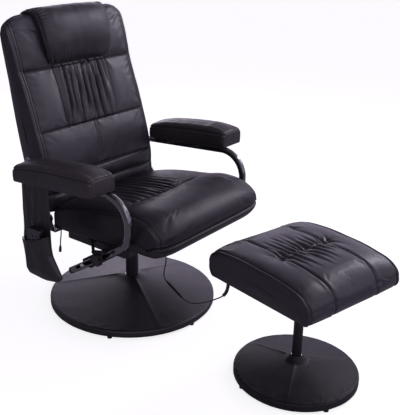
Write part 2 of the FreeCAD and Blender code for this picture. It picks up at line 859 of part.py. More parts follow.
def on_back_board(shape, x, z):
    """Stands a piece on the front of the back board at a height."""
    y = rear_arc_point(z, back_board_far)
    rise = rear_arc_point(z + overrun, back_board_far) - rear_arc_point(z - overrun, back_board_far)
    lean = math.degrees(math.atan2(rise, 2 * overrun))
    placed = shape.copy()
    placed.rotate(V(0, 0, 0), V(1, 0, 0), 90 - lean)
    placed.translate(V(x, y - fit_gap, z))
    return placed


back_motor_places = [(side * back_motor_x, back_bottom + share * back_height)
                     for side in (-1, 1) for share in back_motor_height_shares]
back_board = rear_sheet(-back_board_half_width, back_board_half_width, back_board_bottom, back_board_top,
                        back_board_near, back_board_far)
back_cushion = cushion_loft(back_half_width, back_x_shares, back_crown_shares, back_point,
                            back_edge_start_share, back_edge_shares, back_start_share, back_middle_shares)
back_cushion = back_cushion.cut(
    rear_sheet(-back_board_half_width - fit_gap, back_board_half_width + fit_gap, back_board_bottom - fit_gap,
               back_board_top + fit_gap, -overrun, back_board_far + fit_gap))
back_cushion = back_cushion.cut(
    rear_sheet(-back_half_width - overrun, back_half_width + overrun, back_bottom - overrun,
               back_top - back_cover_cut_inset, -2 * overrun, back_board_near))
for x, z in back_motor_places:
    back_cushion = back_cushion.cut(on_back_board(motor_room(), x, z))
back_tubes = [(back_tube_low_y, back_tube_low_z), (back_tube_high_y, back_tube_high_z)]
for y, z in back_tubes:
    back_cushion = back_cushion.cut(rod(back_tube_radius + fit_gap, -bracket_x, bracket_x, y, z))


def lowered_arc(a, mid, b, depth):
    """A three-point arc moved towards its own centre side by a depth, as three points."""
    across = direction(b[0] - a[0], b[1] - a[1])
    inward = (across[1], -across[0])
    return [(p[0] + inward[0] * depth, p[1] + inward[1] * depth) for p in (a, mid, b)]


def groove_tool(x0, x1, a, mid, b, depth):
    """Cuts a groove of even depth along an arc of a cushion's outline."""
    low = lowered_arc(a, mid, b, depth)
    high = lowered_arc(a, mid, b, -2 * overrun)
    return side_prism(x0, x1, low[0], [(low[1], low[2]), (high[2],), (high[1], high[0])])


def back_arc(index):
    """Start, middle and end of one channel of the back's middle outline."""
    start = back_middle_shares[index - 1][-1]
    return [back_point(*share) for share in (start, *back_middle_shares[index])]


gather_arc = back_arc(4)
lumbar_arc = back_arc(3)
for i in range(gather_count):
    x = gather_half_width * (2 * i / (gather_count - 1) - 1)
    back_cushion = back_cushion.cut(
        groove_tool(x - gather_width / 2, x + gather_width / 2, *gather_arc, gather_depth))
for x in (-upright_seam_x, upright_seam_x):
    back_cushion = back_cushion.cut(
        groove_tool(x - seam_width / 2, x + seam_width / 2, *gather_arc, seam_depth + gather_depth / 2))
back_cushion = back_cushion.cut(groove_tool(-seam_width / 2, seam_width / 2, *lumbar_arc, seam_depth))
save("back_cushion", back_cushion)
save("back_board", back_board)
save("back_cover", rear_sheet(-back_cover_half_width, back_cover_half_width, back_bottom + back_cover_foot_inset,
                              back_top - back_cover_top_inset, 0, back_cover_thickness))
save("back_motors", *[on_back_board(motor(), x, z) for x, z in back_motor_places])
save("back_tubes", *[rod(back_tube_radius, -bracket_x, bracket_x, y, z) for y, z in back_tubes])


bracket_circles = [(hinge_y, hinge_z, bracket_hinge_radius), (back_tube_low_y, back_tube_low_z, bracket_hinge_radius),
                   (pivot_y, pivot_z, bracket_pivot_radius)]
bracket = hull_plate(bracket_x, bracket_x + bracket_thickness, bracket_circles)
bracket = bracket.fuse(hull_plate(bracket_x, bracket_x + bracket_thickness,
                                  [bracket_circles[1], (back_tube_high_y, back_tube_high_z, bracket_hinge_radius)]))
bracket = bracket.cut(rod(pin_radius + running_gap, bracket_x - overrun, bracket_x + lug_thickness + overrun,
                          pivot_y, pivot_z))
bracket = bracket.cut(rod(pin_radius + snug_gap, bracket_x - overrun, bracket_x + lug_thickness + overrun,
                          hinge_y, hinge_z))
save("back_brackets", bracket, mirrored(bracket))
lug_outer_x = lug_x + lug_thickness
hinge_bolt = rod(pin_radius, bracket_x - head_height, lug_outer_x + fit_gap + head_height, hinge_y, hinge_z)
hinge_bolt = hinge_bolt.fuse(hex_rod(head_radius, bracket_x - head_height, bracket_x - snug_gap, hinge_y, hinge_z))
hinge_bolt = hinge_bolt.fuse(hex_rod(head_radius, lug_outer_x + fit_gap, lug_outer_x + fit_gap + head_height,
                                 hinge_y, hinge_z))
save("seat_hinge_bolts", hinge_bolt, mirrored(hinge_bolt))

# Headrest pillow, folded over the top of the back

pillow_start_share = (0.569, 0.736)
pillow_middle_shares = (
    ((0.425, 0.840), (0.620, 0.984)), ((0.754, 1.031), (0.974, 1.016)), ((1.087, 0.995), (1.062, 0.955)),
    ((1.005, 0.963),), ((0.984, 0.996), (0.908, 1.004)), ((0.790, 0.992), (0.736, 0.954)),
    ((0.623, 0.839), (0.569, 0.736)))
pillow_edge_start_share = (0.569, 0.740)
pillow_edge_shares = (
    ((0.560, 0.852), (0.695, 0.960)), ((0.782, 1.006), (0.913, 1.016)), ((1.025, 1.003), (1.030, 0.962)),
    ((1.005, 0.963),), ((0.984, 0.996), (0.908, 1.004)), ((0.790, 0.992), (0.736, 0.954)),
    ((0.623, 0.839), (0.569, 0.740)))
pillow_x_shares = (-1.0, -0.78, 0.78, 1.0)
pillow_crown_shares = (0.0, 1.0, 1.0, 0.0)
pillow = cushion_loft(pillow_half_width, pillow_x_shares, pillow_crown_shares, back_point,
                      pillow_edge_start_share, pillow_edge_shares, pillow_start_share, pillow_middle_shares)
pillow_bottom = back_bottom + pillow_start_share[1] * back_height
for side in (-1, 1):
    corner = [V(side * x, back_front_y - overrun, z) for x, z in
              ((pillow_foot_half_width, pillow_bottom - overrun), (pillow_half_width + overrun, back_top - pillow_taper_inset),
               (pillow_half_width + overrun, pillow_bottom - overrun))]
    wedge = Part.Face(Part.makePolygon(corner + corner[:1])).extrude(V(0, back_depth, 0))
    pillow = pillow.cut(wedge)
save("headrest_pillow", pillow)

# Seat

power_exit = (-254.5, 74.0)
seat_start_share = (0.000, 0.000)
seat_middle_shares = (
    ((0.000, 0.557),), ((0.303, 0.821), (0.612, 0.950)), ((0.765, 1.000), (0.908, 0.900)),
    ((0.991, 0.664), (1.000, 0.379)), ((0.985, 0.164), (0.908, 0.021)))
seat_edge_start_share = (0.009, 0.040)
seat_edge_shares = (
    ((0.009, 0.379),), ((0.303, 0.614), (0.612, 0.793)), ((0.765, 0.829), (0.886, 0.736)),
    ((0.941, 0.593), (0.956, 0.421)), ((0.952, 0.307), (0.919, 0.214)))
seat_x_shares = (-1.0, -0.92, -0.7, 0.7, 0.92, 1.0)
seat_crown_shares = (0.0, 0.55, 1.0, 1.0, 0.55, 0.0)


def seat_point(u, w):
    """Y and Z of a share of the seat's depth and height, counted forward from its rear."""
    return seat_rear_y - u * seat_depth, seat_bottom + w * seat_height


seat_board_top = seat_bottom + seat_board_thickness
seat_cushion = cushion_loft(seat_half_width, seat_x_shares, seat_crown_shares, seat_point,
                            seat_edge_start_share, seat_edge_shares, seat_start_share, seat_middle_shares)
seat_cushion = seat_cushion.cut(
    box(-seat_board_half_width - fit_gap, seat_board_half_width + fit_gap, seat_board_front_y - fit_gap,
        seat_board_rear_y + fit_gap, seat_bottom - overrun, seat_board_top + fit_gap))
seat_motors = []
for side in (-1, 1):
    spot = V(side * seat_motor_x, seat_motor_y, seat_board_top)
    placed = motor()
    placed.translate(spot)
    seat_motors.append(placed)
    room = motor_room()
    room.translate(spot)
    seat_cushion = seat_cushion.cut(room)
panel_arc = [seat_point(*share) for share in (seat_middle_shares[0][0], *seat_middle_shares[1])]
for i in range(pleat_count):
    x = pleat_half_width * (2 * i / (pleat_count - 1) - 1)
    rear_first = [panel_arc[2], panel_arc[1], panel_arc[0]]
    seat_cushion = seat_cushion.cut(
        groove_tool(x - pleat_width / 2, x + pleat_width / 2, *rear_first, pleat_depth))
seam_y, seam_z = panel_arc[2]
seat_cushion = seat_cushion.cut(
    side_prism(-panel_seam_half_width, panel_seam_half_width, (seam_y - seam_width / 2, seam_z + overrun),
               [((seam_y, seam_z - seam_depth),), ((seam_y + seam_width / 2, seam_z + overrun),)]))
lead_hole = disc(cord_radius + fit_gap, seat_bottom - overrun, seat_bottom + seat_board_thickness, *power_exit)
save("seat_cushion", seat_cushion.cut(lead_hole))
save("seat_board", box(-seat_board_half_width, seat_board_half_width, seat_board_front_y, seat_board_rear_y,
                       seat_bottom, seat_board_top))
save("seat_motors", *seat_motors)

strut_outer_x = strut_x + strut_thickness


def seat_strut():
    """Flat steel strut from the clamp bolt back to a knee, then in to a foot under the seat board."""
    bar = hull_plate(strut_x, strut_outer_x, [(clamp_y, clamp_z, strut_boss_radius),
                                              (strut_knee_y, strut_knee_z, strut_knee_radius)])
    foot_bottom = seat_bottom - foot_thickness
    middle_x = (strut_x + strut_outer_x) / 2
    ends = []
    for x, y, z in ((middle_x, strut_knee_y, strut_knee_z), (strut_inner_x, strut_inner_y, foot_bottom)):
        corners = [V(x, y + dy * strut_width / 2, z + dz * strut_depth / 2)
                   for dy, dz in ((-1, -1), (1, -1), (1, 1), (-1, 1))]
        ends.append(Part.makePolygon(corners + corners[:1]))
    arm = Part.makeLoft(ends, True, True)
    arm = arm.cut(box(strut_inner_x - overrun, arm_x, clamp_y, strut_inner_y + strut_width,
                      seat_bottom - snug_gap, seat_bottom + seat_height))
    foot = box(strut_inner_x - strut_foot_length, strut_inner_x + overrun, strut_inner_y - strut_foot_width / 2,
               strut_inner_y + strut_foot_width / 2, foot_bottom, seat_bottom - snug_gap)
    bore = rod(clamp_bolt_radius + snug_gap, strut_x - overrun, strut_outer_x + overrun, clamp_y, clamp_z)
    return bar.fuse(arm).fuse(foot).cut(bore)


save("seat_struts", seat_strut(), mirrored(seat_strut()))


def hinge_lug():
    """Angle bracket under the seat board's rear corner, up to the seat hinge."""
    foot_bottom = seat_bottom - foot_thickness
    foot = box(lug_foot_inner_x, lug_outer_x, lug_foot_front_y, lug_rear_y, foot_bottom, seat_bottom - snug_gap)
    ear = side_prism(lug_x, lug_outer_x, (seat_rear_y - bracket_hinge_radius, foot_bottom),
                     [((hinge_y - bracket_hinge_radius, hinge_z),),
                      ((hinge_y, hinge_z + bracket_hinge_radius), (hinge_y + bracket_hinge_radius, hinge_z)),
                      ((lug_rear_y, foot_bottom),)])
    bore = rod(pin_radius + running_gap, lug_x - overrun, lug_outer_x + overrun, hinge_y, hinge_z)
    return foot.fuse(ear).cut(bore)


save("seat_hinge_lugs", hinge_lug(), mirrored(hinge_lug()))

# Clamp bolts, washers and knobs

washer_outer_x = arm_outer_x + fit_gap + washer_thickness
knob_inner_x = washer_outer_x + fit_gap
clamp_bolt = rod(clamp_bolt_radius, strut_x, knob_inner_x + bolt_in_knob, clamp_y, clamp_z)
save("clamp_bolts", clamp_bolt, mirrored(clamp_bolt))
inner_washer = rod(strut_boss_radius, strut_outer_x, arm_inner_x - fit_gap, clamp_y, clamp_z)
outer_washer = rod(strut_boss_radius, arm_outer_x + fit_gap, washer_outer_x, clamp_y, clamp_z)
washers = [w.cut(rod(clamp_bolt_radius + snug_gap, strut_x, knob_inner_x, clamp_y, clamp_z))
           for w in (inner_washer, outer_washer)]
save("clamp_washers", *washers, *[mirrored(w) for w in washers])


def clamp_knob():
    """Moulded knob with round lobes for the fingers, and a boss against the washer."""
    grip_x = knob_inner_x + knob_boss_length
    core = rod(knob_radius - knob_lobe_radius, grip_x, knob_inner_x + knob_length, clamp_y, clamp_z)
    knob = core.fuse(rod(knob_boss_radius, knob_inner_x, grip_x, clamp_y, clamp_z))
    for i in range(knob_lobes):
        y, z = polar(knob_radius - knob_lobe_radius, i * 360.0 / knob_lobes)
        knob = knob.fuse(rod(knob_lobe_radius, grip_x, knob_inner_x + knob_length, clamp_y + y, clamp_z + z))
    bore = rod(clamp_bolt_radius + running_gap, knob_inner_x - overrun, knob_inner_x + bolt_in_knob + fit_gap,
               clamp_y, clamp_z)
    return knob.removeSplitter().cut(bore)


save("clamp_knob_left", clamp_knob())
save("clamp_knob_right", mirrored(clamp_knob()))

# Side pocket on the right arm, and the hand control in it

strip_outer_x = pocket_strip_x - pocket_strip_thickness
pocket_height = pocket_top - pocket_low
pocket_run = pocket_rear_y - pocket_front_y
# outlines as shares of the pocket's width from front to rear and of its height
strip_shares = ((0.31, 1.0), (0.98, 1.0), (1.0, 0.61), (1.0, 0.36), (0.80, 0.04), (0.42, 0.0), (0.11, 0.04),
                (0.03, 0.09), (0.25, 0.29), (0.31, 0.47))
bag_shares = ((0.31, 0.49), (1.0, 0.36), (0.80, 0.04), (0.42, 0.0), (0.11, 0.04), (0.03, 0.09), (0.25, 0.29))


def pocket_wire(x, shares, inset, rear_draw, low_draw):
    """An outline of the pocket on an upright plane. The rear and the bottom draw in as the bag gets deeper."""
    mid_y = sum(s[0] for s in shares) / len(shares)
    mid_z = sum(s[1] for s in shares) / len(shares)
    points = []
    for u, w in shares:
        y = pocket_front_y + u * pocket_run
        z = pocket_low + w * pocket_height
        y -= inset + rear_draw if u > mid_y else -inset
        z -= inset if w > mid_z else -inset - low_draw
        points.append(V(x, y, z))
    return Part.makePolygon(points + points[:1])


strip = Part.Face(pocket_wire(pocket_strip_x, strip_shares, 0, 0, 0)).extrude(V(-pocket_strip_thickness, 0, 0))
seam_line = [(y, pad_bottom(y) + fit_gap - snug_gap) for y in (pocket_front_y, pad_rear_y)]
above_seam = [(pad_rear_y, pocket_top + overrun), (pocket_front_y, pocket_top + overrun)]
strip = strip.cut(side_prism(-arm_x - pad_width, -arm_x, seam_line[0],
                             [(seam_line[1],), (above_seam[0],), (above_seam[1],)]))
bag_outer_x = strip_outer_x - pocket_depth
bag = Part.makeLoft([pocket_wire(strip_outer_x, bag_shares, 0, 0, 0),
                     pocket_wire(bag_outer_x, bag_shares, 0, pocket_rear_draw, pocket_low_draw)], True, True)
bag_room = Part.makeLoft([pocket_wire(strip_outer_x, bag_shares, pocket_wall, 0, 0),
                          pocket_wire(bag_outer_x + pocket_wall, bag_shares, pocket_wall, pocket_rear_draw,
                                      pocket_low_draw)], True, True)
mouth_room = bag_room.copy()
mouth_room.translate(V(0, 0, pocket_height / 8))
side_pocket = strip.fuse(bag.cut(bag_room).cut(mouth_room))
save("side_pocket", side_pocket)

control_inner_x = strip_outer_x - fit_gap
control_outer_x = control_inner_x - control_thickness
control_top = control_z + control_height


def control_block(grow):
    """The hand control's rounded body, or its hollow where it shrinks by a wall."""
    block = box(control_outer_x + grow, control_inner_x - grow, control_y - control_width / 2 + grow,
                control_y + control_width / 2 - grow, control_z + grow, control_top - grow)
    flat_edges = [e for e in block.Edges if abs(e.tangentAt(e.FirstParameter).x) > upright_share]
    return block.makeFillet(control_corner - grow, flat_edges)


split_x = control_outer_x + control_thickness * control_split_share
control_shell = control_block(0).cut(control_block(control_wall))
front_half = box(control_outer_x - overrun, split_x, control_y - control_width, control_y + control_width,
                 control_z - overrun, control_top + overrun)
control_front = control_shell.common(front_half)
control_rear = control_shell.cut(front_half)
button_places = []
for row in (0, 1):
    for column_index in (-1, 1):
        button_places.append((control_y + column_index * button_pitch_y / 2,
                              control_top - button_top_drop - row * button_pitch_z))


def button_block(y, z, x0, x1, grow):
    """A rounded button shape about a place on the hand control's face."""
    block = box(x0, x1, y - button_width / 2 - grow, y + button_width / 2 + grow, z - button_height / 2 - grow,
                z + button_height / 2 + grow)
    face_edges = [e for e in block.Edges if abs(e.tangentAt(e.FirstParameter).x) > upright_share]
    return block.makeFillet(button_corner, face_edges)


for y, z in button_places:
    control_front = control_front.cut(
        button_block(y, z, control_outer_x - overrun, control_outer_x + control_wall + overrun / 5, fit_gap))
save("control_front", control_front)
save("control_rear", control_rear)
button_names = ["button_power", "button_mode", "button_zone", "button_timer"]
for name, (y, z) in zip(button_names, button_places):
    skirt_x = control_outer_x + control_wall + fit_gap
    cap = button_block(y, z, control_outer_x - button_stand, skirt_x + button_skirt, 0)
    skirt = button_block(y, z, skirt_x, skirt_x + button_skirt, button_skirt)
    save(name, cap.fuse(skirt))

# Control box and its gland in the pan's front

box_front = pan_front + pan_wall + fit_gap
box_top = sheet_bottom - snug_gap
control_box = rounded_block(box_x - box_length / 2, box_x + box_length / 2, box_front, box_front + box_width,
                            box_top - box_height, box_top, pan_wall)
save("control_box", control_box)
gland_tip = pan_front - gland_length
gland = Part.makeCylinder(gland_radius - snug_gap, pan_wall, V(box_x, pan_front, gland_z), V(0, 1, 0))
gland = gland.fuse(Part.makeCylinder(gland_radius + cord_radius, gland_flange, V(box_x, pan_front, gland_z),
                                     V(0, -1, 0)))
gland = gland.fuse(Part.makeCylinder(gland_radius - cord_radius / 2, gland_length,
                                     V(box_x, pan_front, gland_z), V(0, -1, 0)))
save("link_cord_gland", gland)

# Cords. Each tube is straight runs joined by tangent arcs through hand-chosen points

upper_route = [(-66, -176, 283), (-66, -192, 283), (-70, -207, 275), (-76, -218, 260), (-79, -222, 241),
               (-77.5, -217, 221), (-75, -210.5, 202), (-74, -208, 185), (-76.5, -214.1, 171.1), (-82, -229, 169)]
lower_route = [(-114, -315, 157), (-118.8, -328, 155.2), (-125, -346, 156.5), (-133, -368, 163),
               (-143, -394, 175), (-157, -432, 198), (-171, -468, 222), (-178, -491, 240),
               (-181.7, -510, 253.4), (-183, -521, 265)]
boot_route = [(-185, -537, 317), (-185.6, -538, 283), (-183, -521, 265)]
power_route = [(*power_exit, 330), (-255.5, 75.5, 306), (-257, 78, 286), (-259.5, 77, 271)]


def cord_tube(route, radius):
    """A round tube along a route, each corner an arc as large as its two runs allow."""
    points = [V(*p) for p in route]
    radii = []
    for before, corner, after in zip(points, points[1:], points[2:]):
        a, b = before - corner, after - corner
        shorter = min(a.Length, b.Length)
        half = a.getAngle(b) / 2
        radii.append(0.45 * shorter * math.tan(half))
    circle = Part.makeCircle(radius, points[0], points[1] - points[0])
    corners = circle.discretize(cord_sides + 1)
    tube = swept(Part.Face(Part.makePolygon(corners)), points, radii)
    length = sum((q - p).Length for p, q in zip(points, points[1:]))
    expected = math.pi * radius * radius * length
    print("cord radii", [round(r, 1) for r in radii], "length", round(length, 1), "volume share",
          round(tube.Volume / expected, 3))
    return tube


def connector():
    """Inline plug and socket, with a waist where they join."""
    start, end = V(*upper_route[-1]), V(*lower_route[0])
    length = (end - start).Length
    tip = connector_radius - cord_radius / 2
    tip_end, waist_start, waist_end, far_tip = [length * share for share in connector_shares]
    wire = outline(lambda r, along: V(r, 0, along), (0, 0),
                   [((tip, 0),), ((tip, tip_end),), ((connector_radius, tip_end),), ((connector_radius, waist_start),),
                    ((connector_waist, waist_start),), ((connector_waist, waist_end),),
                    ((connector_radius, waist_end),), ((connector_radius, far_tip),), ((tip, far_tip),),
                    ((tip, length),), ((0, length),)])
    body = Part.Face(wire).revolve(V(0, 0, 0), V(0, 0, 1), 360)
    body.Placement = FreeCAD.Placement(start, FreeCAD.Rotation(V(0, 0, 1), end - start))
    return body


save("link_cord_upper", cord_tube(upper_route, cord_radius))
save("link_cord_lower", cord_tube(lower_route, cord_radius))
save("cord_connector", connector())
save("stool_lead_boot", cord_tube(boot_route, boot_lead_radius))
save("power_lead", cord_tube(power_route, cord_radius))
lead_end, lead_before = V(*power_route[-1]), V(*power_route[-2])
plug_way = lead_end - lead_before
plug_way.normalize()
plug = Part.makeCylinder(plug_sleeve_radius, plug_sleeve_length, lead_end, plug_way)
plug = plug.fuse(Part.makeCylinder(plug_radius, plug_length - plug_sleeve_length,
                                   lead_end + plug_way * plug_sleeve_length, plug_way))
save("power_plug", plug)

# Footstool

save("stool_cover", stool_place(base_cover(stool_radius, stool_corner_radius, stool_hub_height, stool_leg_angle,
                                           stool_post_radius + fit_gap)))
save("stool_ring", stool_place(base_ring(stool_radius)))
save("stool_legs", stool_place(base_legs(stool_radius, stool_corner_radius, stool_hub_height, stool_leg_angle,
                                         stool_post_radius)))
save("stool_boot", stool_place(base_boot(stool_boot_radius, stool_boot_height, stool_hub_height,
                                         stool_post_radius)))
plate_bottom = stool_cushion_bottom - stool_plate_thickness
post = disc(stool_post_radius, column_foot, plate_bottom).cut(
    disc(stool_post_radius - tube_wall, column_foot - overrun, plate_bottom - tube_wall))
post = post.fuse(rounded_block(-stool_plate_half, stool_plate_half, -stool_plate_half, stool_plate_half,
                               plate_bottom, stool_cushion_bottom, pan_corner))
save("stool_post", stool_place(post))
board_half_x = stool_half_width - stool_board_inset
board_half_y = stool_half_depth * 0.926 - stool_board_inset
stool_board_top = stool_cushion_bottom + stool_board_thickness
save("stool_board", stool_place(rounded_block(-board_half_x, board_half_x, -board_half_y, board_half_y,
                                              stool_cushion_bottom, stool_board_top, pan_corner)))

stool_start_share = (0.947, 0.000)
stool_middle_shares = (
    ((-0.947, 0.000),), ((-1.000, 0.200), (-0.985, 0.420)), ((-0.895, 0.720), (-0.720, 0.880)),
    ((-0.360, 0.975), (0.000, 1.000)), ((0.370, 0.995), (0.740, 0.970)), ((0.930, 0.830), (1.010, 0.500)),
    ((1.020, 0.250), (0.947, 0.000)))
stool_edge_start_share = (0.926, 0.000)
stool_edge_shares = (
    ((-0.926, 0.000),), ((-0.975, 0.140), (-0.968, 0.280)), ((-0.900, 0.550), (-0.740, 0.710)),
    ((-0.380, 0.820), (0.000, 0.860)), ((0.400, 0.870), (0.760, 0.790)), ((0.930, 0.650), (0.990, 0.360)),
    ((0.985, 0.170), (0.926, 0.000)))
stool_x_shares = (-1.0, -0.88, -0.62, 0.62, 0.88, 1.0)
stool_crown_shares = (0.0, 0.6, 1.0, 1.0, 0.6, 0.0)


def stool_point(u, w):
    """Y and Z of a share of the footstool cushion's half depth and height."""
    return u * stool_half_depth, stool_cushion_bottom + w * stool_cushion_height


def tuft(x, top):
    """A star-shaped dimple, where a tuft draws the cover down in folds."""
    spread = (tuft_depth + overrun) / tuft_depth
    lowest = V(x, 0, top - tuft_depth)
    ring = []
    for i in range(tuft_folds):
        for half_step, reach in ((0, tuft_radius), (0.5, tuft_fold_radius)):
            across, deep = polar(reach * spread, (i + half_step) * 360.0 / tuft_folds)
            ring.append(V(x + across, deep, top + overrun))
    faces = [Part.Face(Part.makePolygon(ring + ring[:1]))]
    for here, there in zip(ring, ring[1:] + ring[:1]):
        faces.append(Part.Face(Part.makePolygon([lowest, here, there, lowest])))
    return Part.Solid(Part.Shell(faces))


stool_cushion = cushion_loft(stool_half_width, stool_x_shares, stool_crown_shares, stool_point,
                             stool_edge_start_share, stool_edge_shares, stool_start_share, stool_middle_shares)
stool_cushion = stool_cushion.cut(
    box(-board_half_x - fit_gap, board_half_x + fit_gap, -board_half_y - fit_gap, board_half_y + fit_gap,
        stool_cushion_bottom - overrun, stool_board_top + fit_gap))
stool_motor = motor()
stool_motor.translate(V(0, 0, stool_board_top))
room = motor_room()
room.translate(V(0, 0, stool_board_top))
stool_cushion = stool_cushion.cut(room)
seam_arcs = [[stool_point(*share) for share in (before[-1], *arc)]
             for before, arc in zip(stool_middle_shares[1:-2], stool_middle_shares[2:-1])]
for x in (-stool_seam_x, stool_seam_x):
    for arc in seam_arcs:
        stool_cushion = stool_cushion.cut(
            groove_tool(x - seam_width / 2, x + seam_width / 2, *arc, seam_depth))
tuft_top = stool_cushion_bottom + stool_cushion_height
for x_step in (-1, 0, 1):
    stool_cushion = stool_cushion.cut(tuft(x_step * stool_seam_x, tuft_top))
save("stool_cushion", stool_place(stool_cushion))
save("stool_motor", stool_place(stool_motor))
print("clamp bolt", round(clamp_y, 1), round(clamp_z, 2), "pivot", round(pivot_y, 1), round(pivot_z, 2))
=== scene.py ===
import math
import bmesh
import bpy
import numpy as np
from mathutils import Matrix, Vector, noise


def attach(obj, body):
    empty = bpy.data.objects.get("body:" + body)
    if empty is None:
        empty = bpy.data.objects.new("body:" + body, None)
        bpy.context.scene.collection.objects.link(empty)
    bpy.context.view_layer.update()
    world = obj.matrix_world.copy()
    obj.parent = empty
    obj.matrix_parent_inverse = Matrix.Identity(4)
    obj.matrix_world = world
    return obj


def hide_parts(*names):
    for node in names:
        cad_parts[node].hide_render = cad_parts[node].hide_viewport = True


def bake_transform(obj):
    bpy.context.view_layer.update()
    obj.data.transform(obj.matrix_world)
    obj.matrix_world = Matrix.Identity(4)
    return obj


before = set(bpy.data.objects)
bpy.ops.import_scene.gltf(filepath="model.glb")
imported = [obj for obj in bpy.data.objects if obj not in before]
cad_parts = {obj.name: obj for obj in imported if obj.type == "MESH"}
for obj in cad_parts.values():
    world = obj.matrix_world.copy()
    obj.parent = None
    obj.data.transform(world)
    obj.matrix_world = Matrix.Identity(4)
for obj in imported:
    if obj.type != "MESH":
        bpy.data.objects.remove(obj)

scene = bpy.context.scene
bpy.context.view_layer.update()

# Camera at the photograph's viewing angle: standing height, left of the sitter's feet, looking
# down on the chair. Its shift puts the view's centre where the photograph has it.
camera = bpy.data.objects.new("camera", bpy.data.cameras.new("camera"))
scene.collection.objects.link(camera)
camera.data.sensor_width = 36.0
camera.data.lens = 62.07
camera.data.shift_x = 0.0747
camera.data.shift_y = -0.0378
view_direction, camera_roll = Vector((0.7233, 0.5954, -0.3497)), math.radians(-0.26)
camera.rotation_euler = view_direction.to_track_quat("-Z", "Y").to_euler()
camera.rotation_euler.rotate(Matrix.Rotation(camera_roll, 3, view_direction).to_euler())
camera.location = (-1.676, -1.547, 1.252)
camera.data.clip_end = 60.0
scene.camera = camera


# Cords: a thin four-millimetre lead from the chair's control box to the footstool, with a small
# inline connector, a thick bent lead under the footstool, and a short lead with a plug under the seat.
class Socket:
    """One output of a material's node, which takes part in sums."""

    def __init__(self, finish, output):
        self.finish = finish
        self.output = output

    def sum(self, operation, *others):
        return self.finish.node("ShaderNodeMath", {"operation": operation}, dict(enumerate((self,) + others)))

    def __add__(self, other):
        return self.sum("ADD", other)

    def __sub__(self, other):
        return self.sum("SUBTRACT", other)

    def __rsub__(self, other):
        return self.finish.node("ShaderNodeMath", {"operation": "SUBTRACT"}, {0: other, 1: self})

    def __mul__(self, other):
        return self.sum("MULTIPLY", other)

    def __truediv__(self, other):
        return self.sum("DIVIDE", other)

    def __pow__(self, other):
        return self.sum("POWER", other)

    __radd__, __rmul__ = __add__, __mul__

    def size(self):
        return self.sum("ABSOLUTE")

    def part(self):
        return self.sum("FRACT")

    def below(self, limit):
        return self.sum("LESS_THAN", limit)

    def most(self, other):
        return self.sum("MAXIMUM", other)

    def step(self, low, high):
        """From 0 at low to 1 at high, held there on both sides."""
        return self.finish.node("ShaderNodeMapRange", {"interpolation_type": "SMOOTHSTEP"},
                                {"Value": self, "From Min": low, "From Max": high})


class Finish:
    """A material, or a given tree, whose nodes are made one by one."""

    def __init__(self, name, tree=None):
        if tree is None:
            self.material = bpy.data.materials.new(name)
            self.material.use_nodes = True
            tree = self.material.node_tree
        self.tree = tree
        self.tree.nodes.clear()

    def node(self, kind, settings=None, inputs=None, output=0):
        made = self.tree.nodes.new(kind)
        for key, value in (settings or {}).items():
            setattr(made, key, value)
        for key, value in (inputs or {}).items():
            if isinstance(value, Socket):
                self.tree.links.new(value.output, made.inputs[key])
            else:
                made.inputs[key].default_value = value
        return Socket(self, made.outputs[output]) if len(made.outputs) else None

    def place(self):
        return self.node("ShaderNodeTexCoord", output="Object")

    def noise(self, scale, detail=2.0, rough=0.5):
        return self.node("ShaderNodeTexNoise", {},
                         {"Vector": self.place(), "Scale": scale, "Detail": detail, "Roughness": rough})

    def blend(self, factor, first, second):
        """Two colours, mixed by a factor."""
        made = self.tree.nodes.new("ShaderNodeMix")
        made.data_type = "RGBA"
        for index, value in ((0, factor), (6, first), (7, second)):
            if isinstance(value, Socket):
                self.tree.links.new(value.output, made.inputs[index])
            elif index:
                made.inputs[index].default_value = (*value, 1.0)
            else:
                made.inputs[index].default_value = value
        return Socket(self, made.outputs[2])

    def bump(self, height, distance, strength=1.0, normal=None):
        inputs = {"Height": height, "Distance": distance, "Strength": strength}
        if normal is not None:
            inputs["Normal"] = normal
        return self.node("ShaderNodeBump", {}, inputs)

    def surface(self, **inputs):
        named = {key.replace("_", " "): value for key, value in inputs.items()}
        shader = self.node("ShaderNodeBsdfPrincipled", {}, named)
        self.node("ShaderNodeOutputMaterial", {}, {"Surface": shader})
        return self.material


def plain(name, colour, rub, rough, grain=None, **more):
    """A finish of one colour. rub is how fine, detailed and strong its uneven gloss is, and grain is
    how fine, deep and strong its bumps are."""
    finish = Finish(name)
    rub_scale, rub_detail, rub_strength = rub
    if grain:
        grain_scale, depth, strength = grain
        more["Normal"] = finish.bump(finish.noise(grain_scale), distance=depth, strength=strength)
    uneven_gloss = finish.noise(rub_scale, rub_detail) * rub_strength + rough
    return finish.surface(Base_Color=(*colour, 1.0), Roughness=uneven_gloss, **more)


def fitted(piece, body, slot, *nodes):
    """The piece rides on a body in the place of CAD pieces; slot is not used."""
    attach(piece, body)
    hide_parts(*nodes)


def dress(finish_material, *names):
    """Gives the CAD pieces of these names their finish."""
    for name in names:
        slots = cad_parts[name].data.materials
        slots.clear()
        slots.append(finish_material)


cord_black = plain("cord_sleeve", (0.012, 0.012, 0.013), rub=(60.0, 3.0, 0.2), rough=0.35, grain=(900.0, 0.0001, 0.4))
cord_radius, boot_radius = 0.002, 0.005
